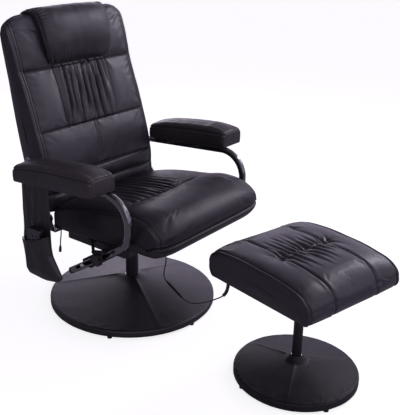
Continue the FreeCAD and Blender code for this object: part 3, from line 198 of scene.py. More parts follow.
# each lead's route in millimetres, from where it leaves the chair, a plug or the footstool
lead_routes = {
    "lead_upper": [(-66, -176, 283), (-66, -192, 283), (-70, -207, 275), (-76, -218, 260), (-79, -222, 241),
                   (-77.5, -217, 221), (-75, -210.5, 202), (-74, -208, 185), (-76.5, -214.1, 171.1),
                   (-82, -229, 169)],
    "lead_lower": [(-114, -315, 157), (-118.8, -328, 155.2), (-125, -346, 156.5), (-133, -368, 163),
                   (-143, -394, 175), (-157, -432, 198), (-171, -468, 222), (-178, -491, 240),
                   (-181.7, -510, 253.4), (-183, -521, 265)],
    "lead_boot": [(-185, -537, 317), (-185.6, -538, 283), (-183, -521, 265)],
    "lead_power": [(-254.5, 74, 330), (-255.5, 75.5, 306), (-257, 78, 286), (-259.5, 77, 271)],
}
leads = {}
for name, route in lead_routes.items():
    line = bpy.data.curves.new(name, "CURVE")
    line.dimensions = "3D"
    line.bevel_depth = boot_radius if name == "lead_boot" else cord_radius
    line.bevel_resolution = 3
    line.resolution_u = 10
    line.use_fill_caps = True
    spline = line.splines.new("NURBS")
    spline.points.add(len(route) - 1)
    for point, spot in zip(spline.points, route):
        point.co = (*[value / 1000 for value in spot], 1.0)
    spline.order_u = 3
    spline.use_endpoint_u = True
    line.materials.append(cord_black)
    leads[name] = bpy.data.objects.new(name, line)
    scene.collection.objects.link(leads[name])

# The upper lead becomes a mesh tube on the same line.
upper_line = leads["lead_upper"]
upper_tube = bpy.data.meshes.new_from_object(upper_line)
upper_line.data.bevel_depth = 0.0
upper_line.data.use_fill_caps = False
bpy.context.view_layer.update()
bare_line = bpy.data.meshes.new_from_object(upper_line)
upper_path = [tuple(vertex.co) for vertex in bare_line.vertices]
bpy.data.meshes.remove(bare_line)
bpy.data.objects.remove(upper_line)
upper_tube.materials.clear()
upper_tube.materials.append(cord_black)
upper_tube.polygons.foreach_set("use_smooth", [True] * len(upper_tube.polygons))
leads["lead_upper"] = bpy.data.objects.new("lead_upper", upper_tube)
scene.collection.objects.link(leads["lead_upper"])
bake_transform(leads["lead_upper"])
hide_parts("link_cord_upper")
fitted(leads["lead_lower"], "base", "black_rubber", "link_cord_lower")
fitted(leads["lead_boot"], "base", "black_rubber", "stool_lead_boot")
fitted(leads["lead_power"], "seat", "black_rubber", "power_lead")
dress(plain("moulded_plug", (0.014, 0.014, 0.015), rub=(80.0, 3.0, 0.25), rough=0.3),
      "cord_connector", "power_plug", "link_cord_gland")

# Studio: a white floor and surround, a large soft lamp high on the right, a narrow bright one on
# each side for the long lights on tubes and seams, a weak one in front, and one behind that draws
# the shoulders. The surround glows on three sides, for soft reflections in the leatherette.
world = bpy.data.worlds.new("studio")
scene.world = world
world.use_nodes = True
sky = Finish("studio", world.node_tree)
seen = sky.node("ShaderNodeLightPath", output="Is Camera Ray")
through = sky.node("ShaderNodeLightPath", output="Is Transmission Ray")
way = sky.node("ShaderNodeTexCoord", output="Generated")
# each glow: the way to it, the cosines to it at which it begins and is full, and its strength
glows = (((0.72, -0.67, 0.18), 0.30, 0.97, 0.58), ((0.75, 0.62, 0.12), 0.70, 1.00, 0.80),
         ((-0.45, -0.80, 0.40), 0.40, 1.00, 0.30))
glow, everywhere = None, 0.15
for toward, low, high, strength in glows:
    facing_way = sky.node("ShaderNodeVectorMath", {"operation": "DOT_PRODUCT"},
                          {0: way, 1: tuple(Vector(toward).normalized())}, output="Value")
    one = facing_way.step(low, high) * strength
    glow = one if glow is None else glow + one
white = seen.most(through)
backdrop = sky.node("ShaderNodeBackground", {}, {"Color": sky.blend(white, (1.06, 0.94, 1.24), (1.0, 1.0, 1.0)),
                                                 "Strength": (glow + everywhere) * (1.0 - white) + white})
sky.node("ShaderNodeOutputWorld", {}, {"Surface": backdrop})

# each lamp: where it stands, what it lights, its width and height, its watts and its colour
lamps = {
    "key": ((2.3, -1.5, 2.1), (0.0, -0.2, 0.4), 1.3, 1.3, 8.5, (1.0, 0.95, 1.13)),
    "strip": ((2.2, -0.9, 2.0), (0.0, -0.2, 0.4), 0.25, 1.3, 12.0, (1.0, 0.97, 1.08)),
    "left strip": ((-2.0, -1.2, 2.1), (0.0, -0.1, 0.4), 0.25, 1.2, 8.5, (1.0, 0.96, 1.08)),
    "front": ((-0.9, -2.6, 2.0), (0.0, -0.3, 0.4), 1.4, 1.4, 3.8, (1.0, 0.96, 1.05)),
    "edge": ((2.2, 2.4, 1.5), (0.0, 0.0, 0.7), 1.2, 1.2, 9.0, (1.0, 0.96, 1.02)),
}
for name, (spot, aim, wide, tall, power, colour) in lamps.items():
    lamp = bpy.data.lights.new(name, "AREA")
    lamp.shape = "RECTANGLE"
    lamp.size = wide
    lamp.size_y = tall
    lamp.energy = power
    lamp.color = colour
    holder = bpy.data.objects.new(name, lamp)
    holder.location = spot
    holder.rotation_euler = (Vector(aim) - Vector(spot)).to_track_quat("-Z", "Y").to_euler()
    scene.collection.objects.link(holder)

floor_reach, floor_gap = 14.0, 0.0004
floor_shape = bmesh.new()
bmesh.ops.create_grid(floor_shape, x_segments=1, y_segments=1, size=floor_reach)
floor_mesh = bpy.data.meshes.new("floor")
floor_shape.to_mesh(floor_mesh)
floor_shape.free()
floor = bpy.data.objects.new("floor", floor_mesh)
floor.location.z = -floor_gap
scene.collection.objects.link(floor)
paper = Finish("white_floor")
path = paper.node("ShaderNodeLightPath", output="Is Camera Ray")
lit_grey, seen_white = (0.46, 0.44, 0.47), (0.92, 0.92, 0.92)
matt = paper.node("ShaderNodeBsdfDiffuse", {}, {"Color": paper.blend(path, lit_grey, seen_white)})
bright = paper.node("ShaderNodeEmission", {}, {"Color": (1.0, 1.0, 1.0, 1.0), "Strength": 1.60})
lit = paper.node("ShaderNodeMixShader", {}, {0: path * 0.5, 1: matt, 2: bright})
paper.node("ShaderNodeOutputMaterial", {}, {"Surface": lit})
floor_mesh.materials.append(paper.material)
scene.view_settings.view_transform = "Standard"


# Bases: leatherette stretched over a steel hoop and three legs, so that it has three taut panels
# with soft ridges between them, a stitched lip round the rim, and a soft collar at the post.
def leatherette(name, colour, sheen, rough, wear=0.35):
    """Soft coated cloth: pebbled grain, fine creases, and a colour that shifts a little over the surface."""
    finish = Finish(name)
    cloud = finish.noise(scale=5.0, detail=3.0)
    patch = finish.noise(scale=38.0, detail=4.0)
    pebbles = finish.node("ShaderNodeTexVoronoi", {"feature": "SMOOTH_F1"},
                          {"Vector": finish.place(), "Scale": 900.0, "Smoothness": 0.4})
    creases = finish.noise(scale=120.0, detail=5.0, rough=0.62)
    tint = finish.blend((cloud * 0.7 + patch * 0.3).step(0.35, 0.68), colour, sheen)
    gloss = patch * 0.16 + cloud * 0.1 + (rough - 0.13)
    relief = finish.bump(pebbles, distance=0.00012, strength=0.6)
    relief = finish.bump(creases, distance=0.0006, strength=wear, normal=relief)
    return finish, tint, gloss, relief


def smooth_object(shape, name, finish_material):
    """A finished mesh at the origin, smooth shaded."""
    mesh = bpy.data.meshes.new(name)
    shape.to_mesh(mesh)
    shape.free()
    mesh.polygons.foreach_set("use_smooth", [True] * len(mesh.polygons))
    mesh.materials.append(finish_material)
    piece = bpy.data.objects.new(name, mesh)
    scene.collection.objects.link(piece)
    return piece


def polar_grid(rings, spokes, place):
    """A round sheet from a grid: place gives each point's spot from its ring and its turn."""
    shape = bmesh.new()
    bmesh.ops.create_grid(shape, x_segments=spokes, y_segments=rings - 1, size=1.0)
    for vertex in shape.verts:
        turn = (vertex.co.x + 1) * math.pi
        ring = round((vertex.co.y + 1) / 2 * (rings - 1))
        vertex.co = place(ring, turn)
    bmesh.ops.remove_doubles(shape, verts=shape.verts, dist=0.00002)
    bmesh.ops.recalc_face_normals(shape, faces=shape.faces)
    return shape


def base_cover(name, centre, radius, hub_radius, hub_z, ridge_turn, post_radius, collar_z, shine):
    """Cover of one base, from under the rim, over its lip and up the panels to the post."""
    rim_low, rim_top, lip = 0.008, 0.032, 0.007
    # the rim's section: how far out from the radius, and how high above its foot
    rim = ((-0.010, 0.0), (-0.003, 0.0), (0.0, 0.002), (0.0, 0.009), (0.0, 0.016), (-0.0006, 0.0195),
           (-0.003, 0.0225), (-0.005, 0.0222), (-0.007, 0.0238))
    outer, steps, spokes = radius - lip, 44, 288
    shares = [(step / steps) ** 1.15 for step in range(1, steps + 1)]
    ridge_height, ridge_width, collar_start = 0.0022, 0.006, 0.86

    def uneven_at(a, b, c):
        return noise.noise(Vector((a, b, c)))

    def place(ring, turn):
        across, along = math.cos(turn), math.sin(turn)
        from_ridge = (math.degrees(turn) - ridge_turn + 60) % 120 - 60
        if ring < len(rim):
            r, z = radius + rim[ring][0], rim_low + rim[ring][1]
            z += 0.0007 * uneven_at(across * 14, along * 14, z * 60 + radius * 10)
        else:
            share = shares[ring - len(rim)]
            r = outer - share * (outer - post_radius - 0.001)
            # between two ridges the panel is nearly flat, so its middle lies lower than the ridges
            bow = math.cos(math.radians(60)) / math.cos(math.radians(min(abs(from_ridge), 60) - 60))
            climb = (outer - r) / (outer - hub_radius * bow)
            z = rim_top - 0.0004 + (hub_z - rim_top) * min(climb, 1.0)
            aside = abs(math.radians(from_ridge)) * r
            z += ridge_height * math.exp(-aside / ridge_width) * min(1.0, share * 8) * (1 - share) ** 0.2
            z += 0.0011 * math.exp(-share * 14) * uneven_at(across * 17, along * 17, share * 14)
            z += 0.0007 * (1 - share) * uneven_at(r * 14 * across, r * 14 * along, 3.1)
            z += (collar_z - hub_z) * max(0.0, (share - collar_start) / (1 - collar_start)) ** 2
        return Vector((centre[0] + r * across, centre[1] + r * along, z))

    shape = polar_grid(len(rim) + steps, spokes, place)
    finish, tint, gloss, relief = leatherette(name + "_leatherette", (0.012, 0.011, 0.013), (0.020, 0.018, 0.022),
                                              0.42)
    spot = finish.node("ShaderNodeSeparateXYZ", {}, {0: finish.place()})
    dx, dy = spot - centre[0], Socket(finish, spot.output.node.outputs[1]) - centre[1]
    seam_half, hub_clear, rim_seam = 0.0009, 0.03, radius - 0.0052
    seam = None
    for k in range(3):
        turn = math.radians(ridge_turn + 120 * k)
        c, s = math.cos(turn), math.sin(turn)
        near = (dy * c - dx * s).size().below(seam_half) * (hub_clear - (dx * c + dy * s)).below(0.0)
        seam = near if seam is None else seam.most(near)
    far = (dx * dx + dy * dy) ** 0.5
    seam = seam.most((far - rim_seam).size().below(0.0008))
    tint = finish.blend(seam * 0.8, tint, (0.003, 0.003, 0.003))
    return smooth_object(shape, name, finish.surface(Base_Color=tint, Roughness=gloss, Normal=relief,
                                                     Specular_IOR_Level=shine))


chair_cover = base_cover("chair_base_cover", centre=(0, 0), radius=0.290, hub_radius=0.054, hub_z=0.088,
                         ridge_turn=-119.4, post_radius=0.0225, collar_z=0.094, shine=0.5)
fitted(chair_cover, "base", "base_leatherette", "base_cover", "base_boot")
stool_centre, stool_turn = (-0.0485, -0.694), -12.7
footstool_cover = base_cover("stool_base_cover", stool_centre, radius=0.183, hub_radius=0.040, hub_z=0.060,
                             ridge_turn=stool_turn - 146, post_radius=0.0145, collar_z=0.076, shine=0.16)
fitted(footstool_cover, "base", "base_leatherette", "stool_cover", "stool_boot")
dress(plain("foot_rubber", (0.012, 0.012, 0.012), rub=(50.0, 3.0, 0.3), rough=0.5, grain=(400.0, 0.0002, 0.4)),
      "base_glides", "stool_glides", "tube_caps")

# Frame: posts, mechanism pan, rail, struts and hidden steel, sprayed satin black. The arm tubes are
# stove-enamelled gloss black, the clamp bolts blacked, and brackets, spindle and hinge bolts zinc-plated.
# The boards inside are plywood, and the knobs, control box and motors moulded black plastic.
dress(plain("satin_black_spray", (0.010, 0.010, 0.011), rub=(20.0, 3.0, 0.2), rough=0.28,
            grain=(700.0, 0.0001, 0.35)),
      "base_ring", "base_legs", "column", "stool_ring", "stool_legs", "stool_post", "mechanism_pan", "cross_rail",
      "back_tubes", "seat_struts", "seat_hinge_lugs")
dress(plain("gloss_black_enamel", (0.008, 0.0075, 0.0078), rub=(12.0, 2.0, 0.08), rough=0.10,
            grain=(90.0, 0.0002, 0.25), IOR=1.8, Coat_Weight=1.0, Coat_Roughness=0.05, Coat_IOR=1.8),
      "arm_tube_left", "arm_tube_right")
for name, dull, brightest, brushed, nodes in (
        ("zinc_plate", (0.26, 0.26, 0.27), (0.40, 0.40, 0.41), 160.0,
         ("swivel_spindle", "side_brackets", "back_brackets", "arm_pivot_bolts", "seat_hinge_bolts")),
        ("blacked_steel", (0.03, 0.03, 0.032), (0.07, 0.07, 0.073), 120.0, ("clamp_bolts", "clamp_washers"))):
    metal = Finish(name)
    brushing = metal.noise(scale=brushed, detail=4.0)
    dress(metal.surface(Base_Color=metal.blend(brushing, dull, brightest), Metallic=1.0,
                        Roughness=brushing * 0.25 + 0.25), *nodes)
ply = Finish("plywood")
layers = ply.noise(scale=30.0, detail=4.0)
dress(ply.surface(Base_Color=ply.blend(layers, (0.42, 0.30, 0.17), (0.56, 0.42, 0.26)),
                  Roughness=layers * 0.2 + 0.6),
      "arm_pad_boards", "back_board", "seat_board", "stool_board")
dress(plain("black_moulding", (0.010, 0.010, 0.011), rub=(70.0, 3.0, 0.2), rough=0.2, grain=(800.0, 0.0001, 0.4)),
      "clamp_knob_left", "clamp_knob_right", "control_box", "back_motors", "seat_motors", "stool_motor")
nylon = Finish("bush_nylon")
dress(nylon.surface(Base_Color=nylon.blend(nylon.noise(scale=25.0), (0.62, 0.6, 0.55), (0.7, 0.68, 0.64)),
                    Roughness=nylon.noise(scale=40.0) * 0.2 + 0.4), "column_bush")


# Cushions: foam in a leatherette cover, sewn from panels. Each is worked out as a side outline of
# arcs and lines, crowned between its edges and its middle, then puffed out against its seams.
side_rows = 7


def eased(k, count):
    """Even steps along a run, drawn closer near its two ends, where its seams are."""
    return k / count - 0.5 * math.sin(2 * math.pi * k / count) / (2 * math.pi)


def arc_points(start, middle, end, count):
    """Points along the arc through three points, after its start."""
    (ax, ay), (bx, by), (cx, cy) = start, middle, end
    d = 2 * (ax * (by - cy) + bx * (cy - ay) + cx * (ay - by))
    if abs(d) < 1e-9:
        return [(ax + (cx - ax) * eased(k, count), ay + (cy - ay) * eased(k, count)) for k in range(1, count + 1)]
    a2, b2, c2 = ax * ax + ay * ay, bx * bx + by * by, cx * cx + cy * cy
    ux = (a2 * (by - cy) + b2 * (cy - ay) + c2 * (ay - by)) / d
    uy = (a2 * (cx - bx) + b2 * (ax - cx) + c2 * (bx - ax)) / d
    r = math.hypot(ax - ux, ay - uy)
    first = math.atan2(ay - uy, ax - ux)
    through = (math.atan2(by - uy, bx - ux) - first) % (2 * math.pi)
    last = (math.atan2(cy - uy, cx - ux) - first) % (2 * math.pi)
    if through > last:
        last -= 2 * math.pi
    return [(ux + r * math.cos(first + last * eased(k, count)), uy + r * math.sin(first + last * eased(k, count)))
            for k in range(1, count + 1)]


def run_points(start, runs, counts):
    """Points of an outline, run by run, and the index at which each run ends."""
    points, ends, here = [start], [], start
    for run, count in zip(runs, counts):
        if len(run) == 2:
            points += arc_points(here, run[0], run[1], count)
        else:
            points += [(here[0] + (run[0][0] - here[0]) * k / count, here[1] + (run[0][1] - here[1]) * k / count)
                       for k in range(1, count + 1)]
        here = run[-1]
        ends.append(len(points) - 1)
    return points, ends


def flowing(points, count):
    """A smooth line through points, as count even steps without its last point."""
    line = np.array(points)
    reach = np.vstack([2 * line[0] - line[1], line, 2 * line[-1] - line[-2]])
    fine = []
    for k in range(len(line) - 1):
        a, b, c, d = reach[k:k + 4]
        for t in np.linspace(0, 1, 24, endpoint=False):
            fine.append(0.5 * (2 * b + (c - a) * t + (2 * a - 5 * b + 4 * c - d) * t ** 2 +
                               (3 * b - a - 3 * c + d) * t ** 3))
    fine = np.array(fine + [line[-1]])
    lengths = np.concatenate([[0], np.cumsum(np.linalg.norm(np.diff(fine, axis=0), axis=1))])
    at = np.linspace(0, lengths[-1], count + 1)[:-1]
    return np.stack([np.interp(at, lengths, fine[:, k]) for k in range(2)], axis=1)


def crowded(count, crowds):
    """Places from -1 to 1, closer together where a cover is sewn. A crowd is (place, width, how much closer)."""
    fine = np.linspace(-1, 1, 4001)
    density = np.ones_like(fine)
    for place, width, extra in crowds:
        density += extra * np.exp(-((np.abs(fine) - place) / width) ** 4)
    reach = np.concatenate([[0], np.cumsum((density[1:] + density[:-1]) / 2)])
    places = np.interp(np.linspace(0, reach[-1], count), reach, fine)
    return (places - places[::-1]) / 2


def shell_grid(loops, bulge, cap_rows, outward=(1.0, 0.0, 0.0)):
    """Closes a stack of loops with two side faces, each ruled between facing points of its end loop."""
    count, full_from = loops.shape[1], 0.03
    facing = (-np.arange(count)) % count
    sides = []
    for edge, way in ((loops[0], -1), (loops[-1], 1)):
        middle = (edge + edge[facing]) / 2
        spread = np.linalg.norm(edge - middle, axis=1)
        side = []
        for k in range(1, cap_rows + 1):
            share = k / cap_rows
            swell = bulge * np.sin(share * math.pi / 2) * np.clip(spread / full_from, 0, 1)
            side.append(edge + (middle - edge) * share + way * swell[:, None] * np.array(outward))
        sides.append(side)
    return np.stack(sides[0][::-1] + list(loops) + sides[1])


def normals_of(grid, column, axis, sign):
    """Outward direction at each point of a grid of closed loops, told by one point's known side."""
    along = np.roll(grid, -1, axis=1) - np.roll(grid, 1, axis=1)
    across = np.gradient(grid, axis=0)
    n = np.cross(across, along)
    n = n / np.maximum(np.linalg.norm(n, axis=2, keepdims=True), 1e-12)
    return n if n[grid.shape[0] // 2, column, axis] * sign > 0 else -n


def flat_pattern(grid, places, cap_rows, reach):
    """Each point's place on the cut pieces of the cover, across from the middle and along its outline: as
    one map, and as the two measures by themselves, with the number of each column of points."""
    middle = grid[grid.shape[0] // 2]
    closed = np.vstack([middle, middle[:1]])
    along = np.concatenate([[0], np.cumsum(np.linalg.norm(np.diff(closed, axis=0), axis=1))])
    outer = np.arange(1, cap_rows + 1) / cap_rows * reach
    across = np.concatenate([(places[0] - outer)[::-1], places, places[-1] + outer])
    flat = np.stack(np.broadcast_arrays(across[:, None], along[None, :]), axis=2)
    return flat, flat[:, :-1, 0], flat[:, :-1, 1], np.arange(grid.shape[1])[None, :]


def wrapped(name, grid, finish_material, flat, pins=None):
    """A closed piece from a grid of loops. It keeps the flat pattern of its cover as its own map."""
    rows, count = grid.shape[:2]
    shape = bmesh.new()
    bmesh.ops.create_grid(shape, x_segments=count, y_segments=rows - 1, size=1.0)
    pin_layer = shape.verts.layers.float.new("pin")
    pattern = shape.loops.layers.uv.new("pattern")
    for vertex in shape.verts:
        j = round((vertex.co.x + 1) / 2 * count)
        i = round((vertex.co.y + 1) / 2 * (rows - 1))
        for loop in vertex.link_loops:
            loop[pattern].uv = flat[i, j]
        vertex.co = grid[i, j % count]
        vertex[pin_layer] = float(pins[i, j % count]) if pins is not None else 0.0
    bmesh.ops.remove_doubles(shape, verts=shape.verts, dist=0.00003)
    bmesh.ops.recalc_face_normals(shape, faces=shape.faces)
    return smooth_object(shape, name, finish_material)


def puffed(piece, cap):
    """Inflates a cover over its filling with cloth, held at its seams, and moves no point further than cap."""
    steps = 20
    mesh = piece.data
    group = piece.vertex_groups.new(name="seams")
    for index, pin in enumerate(mesh.attributes["pin"].data):
        if pin.value > 0.01:
            group.add([index], min(pin.value, 1.0), "REPLACE")
    cloth = piece.modifiers.new("cover", "CLOTH")
    for key, value in {"quality": 3, "mass": 0.3, "tension_stiffness": 15, "compression_stiffness": 15,
                       "shear_stiffness": 5, "bending_stiffness": 0.5, "use_pressure": True,
                       "uniform_pressure_force": 4.0, "vertex_group_mass": "seams"}.items():
        setattr(cloth.settings, key, value)
    cloth.settings.effector_weights.gravity = 0
    cloth.collision_settings.use_collision = False
    for step in range(1, steps + 1):
        scene.frame_set(step)
    shown = piece.evaluated_get(bpy.context.evaluated_depsgraph_get())
    moved, before = np.empty(len(mesh.vertices) * 3), np.empty(len(mesh.vertices) * 3)
    shown.data.vertices.foreach_get("co", moved)
    mesh.vertices.foreach_get("co", before)
    push = (moved - before).reshape(-1, 3)
    push *= np.minimum(1.0, cap / np.maximum(np.linalg.norm(push, axis=1, keepdims=True), 1e-9))
    piece.modifiers.remove(cloth)
    piece.vertex_groups.remove(group)
    mesh.vertices.foreach_set("co", (before.reshape(-1, 3) + push).ravel())
    mesh.update()
    scene.frame_set(1)


def finer(piece):
    """One subdivision, the same in every view."""
    level = piece.modifiers.new("finer", "SUBSURF")
    level.levels = 1
    level.render_levels = 1


def cushion_grid(half_width, x_shares, crown_of, point, starts, edge_runs, middle_runs, counts, bulge,
                 width_of=None):
    """Loops across the chair from the middle and edge outlines, closed at both sides."""
    edge, ends = run_points(starts[0], edge_runs, counts)
    middle, _ = run_points(starts[1], middle_runs, counts)
    edge, middle = [np.array([point(*p) for p in line[:-1]]) for line in (edge, middle)]
    loops = []
    for share in x_shares:
        outline = edge + (middle - edge) * crown_of(abs(share))
        wide = half_width if width_of is None else np.array([width_of(z) for z in outline[:, 1]])
        loops.append(np.column_stack([np.full(len(outline), share) * wide, outline]))
    return shell_grid(np.array(loops), bulge, side_rows), ends


def round_crown(flat_share, power):
    """How far the cover has risen from its edge seam to its middle, across the cushion."""
    def crown(share):
        if share <= flat_share:
            return 1.0
        return max(0.0, 1 - ((share - flat_share) / (1 - flat_share)) ** power) ** 0.55
    return crown


def hump(distance, height, width):
    """A round ridge along a line: how far the cover stands up at a distance from that line."""
    return height * np.exp(-(distance / width) ** 2)


def dip(distance, depth, width):
    """A sewn channel: how far the cover lies below its plump level at a distance from the seam line."""
    return -hump(distance, depth, width)


def folds(across, along, lines, width, ridge=0.35):
    """Sharp folds, each drawn from one place to another: (across, along, depth) at both its ends."""
    lift, end_fade = np.zeros(across.shape), 0.005
    for number, (a0, s0, deep0, a1, s1, deep1) in enumerate(lines):
        share = (along - s0) / (s1 - s0)
        held = np.clip(share, 0, 1)
        wander = 0.0030 * np.sin(held * 4.1 + number * 2.3) * np.sin(held * math.pi)
        away = np.abs(across - (a0 + (a1 - a0) * held + wander))
        past_end = np.abs(share - held) * abs(s1 - s0)
        deep = (deep0 + (deep1 - deep0) * held) * hump(past_end, 1.0, end_fade)
        lift += deep * (hump(away - 2.2 * width, ridge, 1.5 * width) - np.exp(-away / width))
    return lift


def uneven(grid, *layers):
    """Soft unevenness at a grid's points: the sum of layers of noise, each (height, how fine, seed)."""
    lift = np.zeros(grid.shape[:2])
    for height, scale, seed in layers:
        spots = grid.reshape(-1, 3) * scale + np.array((seed, 0, 0))
        lift += height * np.array([noise.noise(Vector(spot)) for spot in spots]).reshape(lift.shape)
    return lift


def stitched(name, colour, sheen, rough, seams=(), threads=(), wear=0.35, shine=0.5):
    """Leatherette with dark seam lines, which are the sewn joint together with painted shade in its groove, and rows
    of stitches on its flat pattern.
    A line is (axis, place, from, to); u counts across to both sides, U to one side, v along the outline."""
    seam_half, thread_half, stitch, stitch_share = 0.0014, 0.0007, 0.0045, 0.62
    finish, tint, gloss, relief = leatherette(name, colour, sheen, rough, wear=wear)
    split = finish.node("ShaderNodeSeparateXYZ", {}, {0: finish.node("ShaderNodeUVMap", {"uv_map": "pattern"})})
    one_side, v = split, Socket(finish, split.output.node.outputs[1])
    u = split.size()

    def lines(rows, half):
        drawn = None
        for axis, place, low, high in rows:
            across, along = {"u": (u, v), "U": (one_side, v), "v": (v, one_side)}[axis]
            near = (across - place).size().below(half) * (along - (low + high) / 2).size().below((high - low) / 2)
            drawn = near if drawn is None else drawn.most(near)
        return drawn

    if seams:
        seam = lines(seams, seam_half)
        # painted shade: the near-black seam line is wider than the joint itself, and stands in for the shade that
        # falls in the sewn groove as well as the joint
        tint = finish.blend(seam * 0.85, tint, (0.0025, 0.0025, 0.003))
        gloss = gloss + seam * 0.4
    if threads:
        upright = lines([row for row in threads if row[0] != "v"], thread_half)
        level = lines([row for row in threads if row[0] == "v"], thread_half)
        thread = None
        for row, along in ((upright, v), (level, one_side)):
            if row is not None:
                dashed = row * (along / stitch).part().below(stitch_share)
                thread = dashed if thread is None else thread.most(dashed)
        tint = finish.blend(thread * 0.35, tint, (0.035, 0.032, 0.036))
        relief = finish.bump(thread, distance=0.0005, strength=0.8, normal=relief)
    return finish.surface(Base_Color=tint, Roughness=gloss, Normal=relief, Specular_IOR_Level=shine)


# Back cushion: front panels with four cross seams, a gathered middle panel between two upright
# seams, a double centre seam in the lumbar panel, two plain rolls at the foot, and side bands.
back_runs = (
    ((0.026, 0.000),), ((0.000, 0.049), (0.038, 0.096)), ((0.010, 0.139), (0.056, 0.183)),
    ((0.118, 0.300), (0.246, 0.420)), ((0.385, 0.567), (0.585, 0.724)), ((0.641, 0.838), (0.754, 0.951)),
    ((0.805, 0.987), (0.908, 1.000)), ((0.974, 0.989), (0.990, 0.951)), ((0.779, 0.473), (0.405, 0.010)))
back_edge_runs = (
    ((0.077, 0.006),), ((0.079, 0.052), (0.087, 0.096)), ((0.092, 0.141), (0.108, 0.183)),
    ((0.185, 0.303), (0.292, 0.420)), ((0.456, 0.574), (0.631, 0.724)), ((0.713, 0.817), (0.795, 0.903)),
    ((0.836, 0.930), (0.903, 0.943)), ((0.954, 0.935), (0.969, 0.911)), ((0.779, 0.473), (0.405, 0.016)))
back_counts = (8, 12, 12, 28, 44, 26, 7, 7, 144)
back_half, back_band, back_seam, gather_seam, lumbar_seam = 0.256, 0.2445, 0.236, 0.118, 0.0055
beside_seam = 0.004


def back_point(u, w):
    return 0.115 + u * 0.195, 0.368 + w * 0.617


def back_width(z):
    return float(np.interp(z, (0.78, 0.86, 0.90, 0.96, 0.985), (0.256, 0.2605, 0.263, 0.263, 0.260)))


back_x = crowded(136, ((0.0, 0.5, 1.2), (0.94, 0.04, 1.6), (1.0, 0.03, 3.0)))
back_grid, back_ends = cushion_grid(back_half, back_x, round_crown(0.76, 2.0), back_point,
                                    ((0.405, 0.016), (0.405, 0.010)), back_edge_runs, back_runs, back_counts,
                                    0.006, back_width)
# the upper corner on the near side hangs a little lower
near_corner = np.clip((-back_grid[:, :, 0] - 0.13) / 0.10, 0, 1) * np.clip((back_grid[:, :, 2] - 0.90) / 0.07, 0, 1)
back_grid[:, :, 2] -= 0.008 * near_corner
back_flat, back_u, back_v, back_column = flat_pattern(back_grid, back_x * back_half, side_rows, 0.04)
back_side, back_seams = np.abs(back_u), [back_flat[0, end, 1] for end in back_ends]
back_front = (back_column > back_ends[0]) & (back_column < back_ends[6])
back_lift = np.zeros(back_grid.shape[:2])
for number, depth, width in ((1, 0.0035, 0.0035), (2, 0.005, 0.0035), (3, 0.0038, 0.0026), (4, 0.0038, 0.0026)):
    away = back_v - back_seams[number]
    sewn = np.clip((back_seam + 0.003 - back_side) / 0.006, 0, 1) * back_front
    puckers = hump(away, 0.0005, 0.012) * np.sin(back_u * 300 + 3.0 * np.sin(back_u * 71 + number))
    back_lift += (dip(away, depth, width) + hump(np.abs(away) - 0.014, 0.0005, 0.008) + puckers) * sewn
gathered = (back_column >= back_ends[3]) & (back_column <= back_ends[4])
back_lift += dip(back_side - gather_seam, 0.005, 0.003) * gathered
foot, head = back_seams[3] + 0.002, back_seams[4] - 0.002
# seven folds over the whole panel, and short ones that fade out below its head and above its foot
gather_lines = [(-0.102, foot, 0.0095, -0.080, head, 0.0095), (-0.076, foot, 0.008, -0.055, head, 0.0085),
                (-0.047, foot, 0.0095, -0.030, head, 0.008), (-0.019, foot, 0.008, 0.000, head, 0.010),
                (0.015, foot, 0.009, 0.022, head - 0.01, 0.008), (0.048, foot, 0.0095, 0.041, head, 0.0095),
                (0.082, foot, 0.008, 0.075, head, 0.0095)]
for spot, reach in ((-0.068, 0.12), (-0.043, 0.08), (-0.014, 0.10), (0.010, 0.13), (0.032, 0.07), (0.058, 0.11),
                    (0.096, 0.12)):
    gather_lines.append((spot - 0.004, head - reach, 0.0, spot, head, 0.006))
for spot, reach in ((-0.089, 0.09), (-0.062, 0.07), (-0.032, 0.10), (-0.002, 0.06), (0.033, 0.09), (0.065, 0.10),
                    (0.100, 0.08)):
    gather_lines.append((spot, foot, 0.006, spot + 0.005, foot + reach, 0.0))
within = np.clip((gather_seam - 0.002 - back_side) / 0.006, 0, 1) * gathered
back_lift += (1.4 * folds(back_u, back_v, gather_lines, 0.0052, 0.50) + 0.0030) * within
lumbar = (back_column >= back_ends[2]) & (back_column <= back_ends[3])
for middle in (-lumbar_seam, lumbar_seam):
    back_lift += dip(back_u - middle, 0.002, 0.0025) * lumbar
back_lift += dip(back_side - back_seam, 0.003, 0.003) * back_front
back_lift += dip(back_side - back_band, 0.003, 0.0025) * back_front
# small puckers inside the upright seams
rim = np.clip((back_side - 0.19) / 0.03, 0, 1) * np.clip((back_seam - back_side) / 0.006, 0, 1)
back_lift += 0.0006 * np.sin(back_v * 190 + 2.5 * np.sin(back_v * 37) - back_side * 60) * rim * back_front
back_lift += uneven(back_grid, (0.0020, 9.0, 1.7), (0.0004, 42.0, 4.4)) * back_front
back_grid = back_grid + normals_of(back_grid, back_ends[3], 1, -1) * back_lift[:, :, None]
span = (back_seams[0], back_seams[6])
back_leather = stitched(
    "back_leatherette", (0.014, 0.013, 0.017), (0.023, 0.021, 0.027), 0.38,
    [("v", back_seams[k], -back_seam, back_seam) for k in (1, 2, 3, 4)] +
    [("u", gather_seam, foot, head), ("u", lumbar_seam, back_seams[2], back_seams[3]), ("u", back_seam, *span),
     ("u", back_band, *span)],
    [("u", back_seam - beside_seam, *span), ("u", back_band + beside_seam, *span),
     ("u", gather_seam + 0.0035, foot, head)] +
    [("v", back_seams[k] - beside_seam, -back_seam, back_seam) for k in (2, 3, 4)])
back_pins = ((back_lift < -0.0022) | ~back_front | (back_side > back_half)).astype(float)
back = wrapped("back_cushion_cover", back_grid, back_leather, back_flat, back_pins)
puffed(back, 0.0025)
finer(back)
fitted(back, "backrest", "leatherette", "back_cushion")

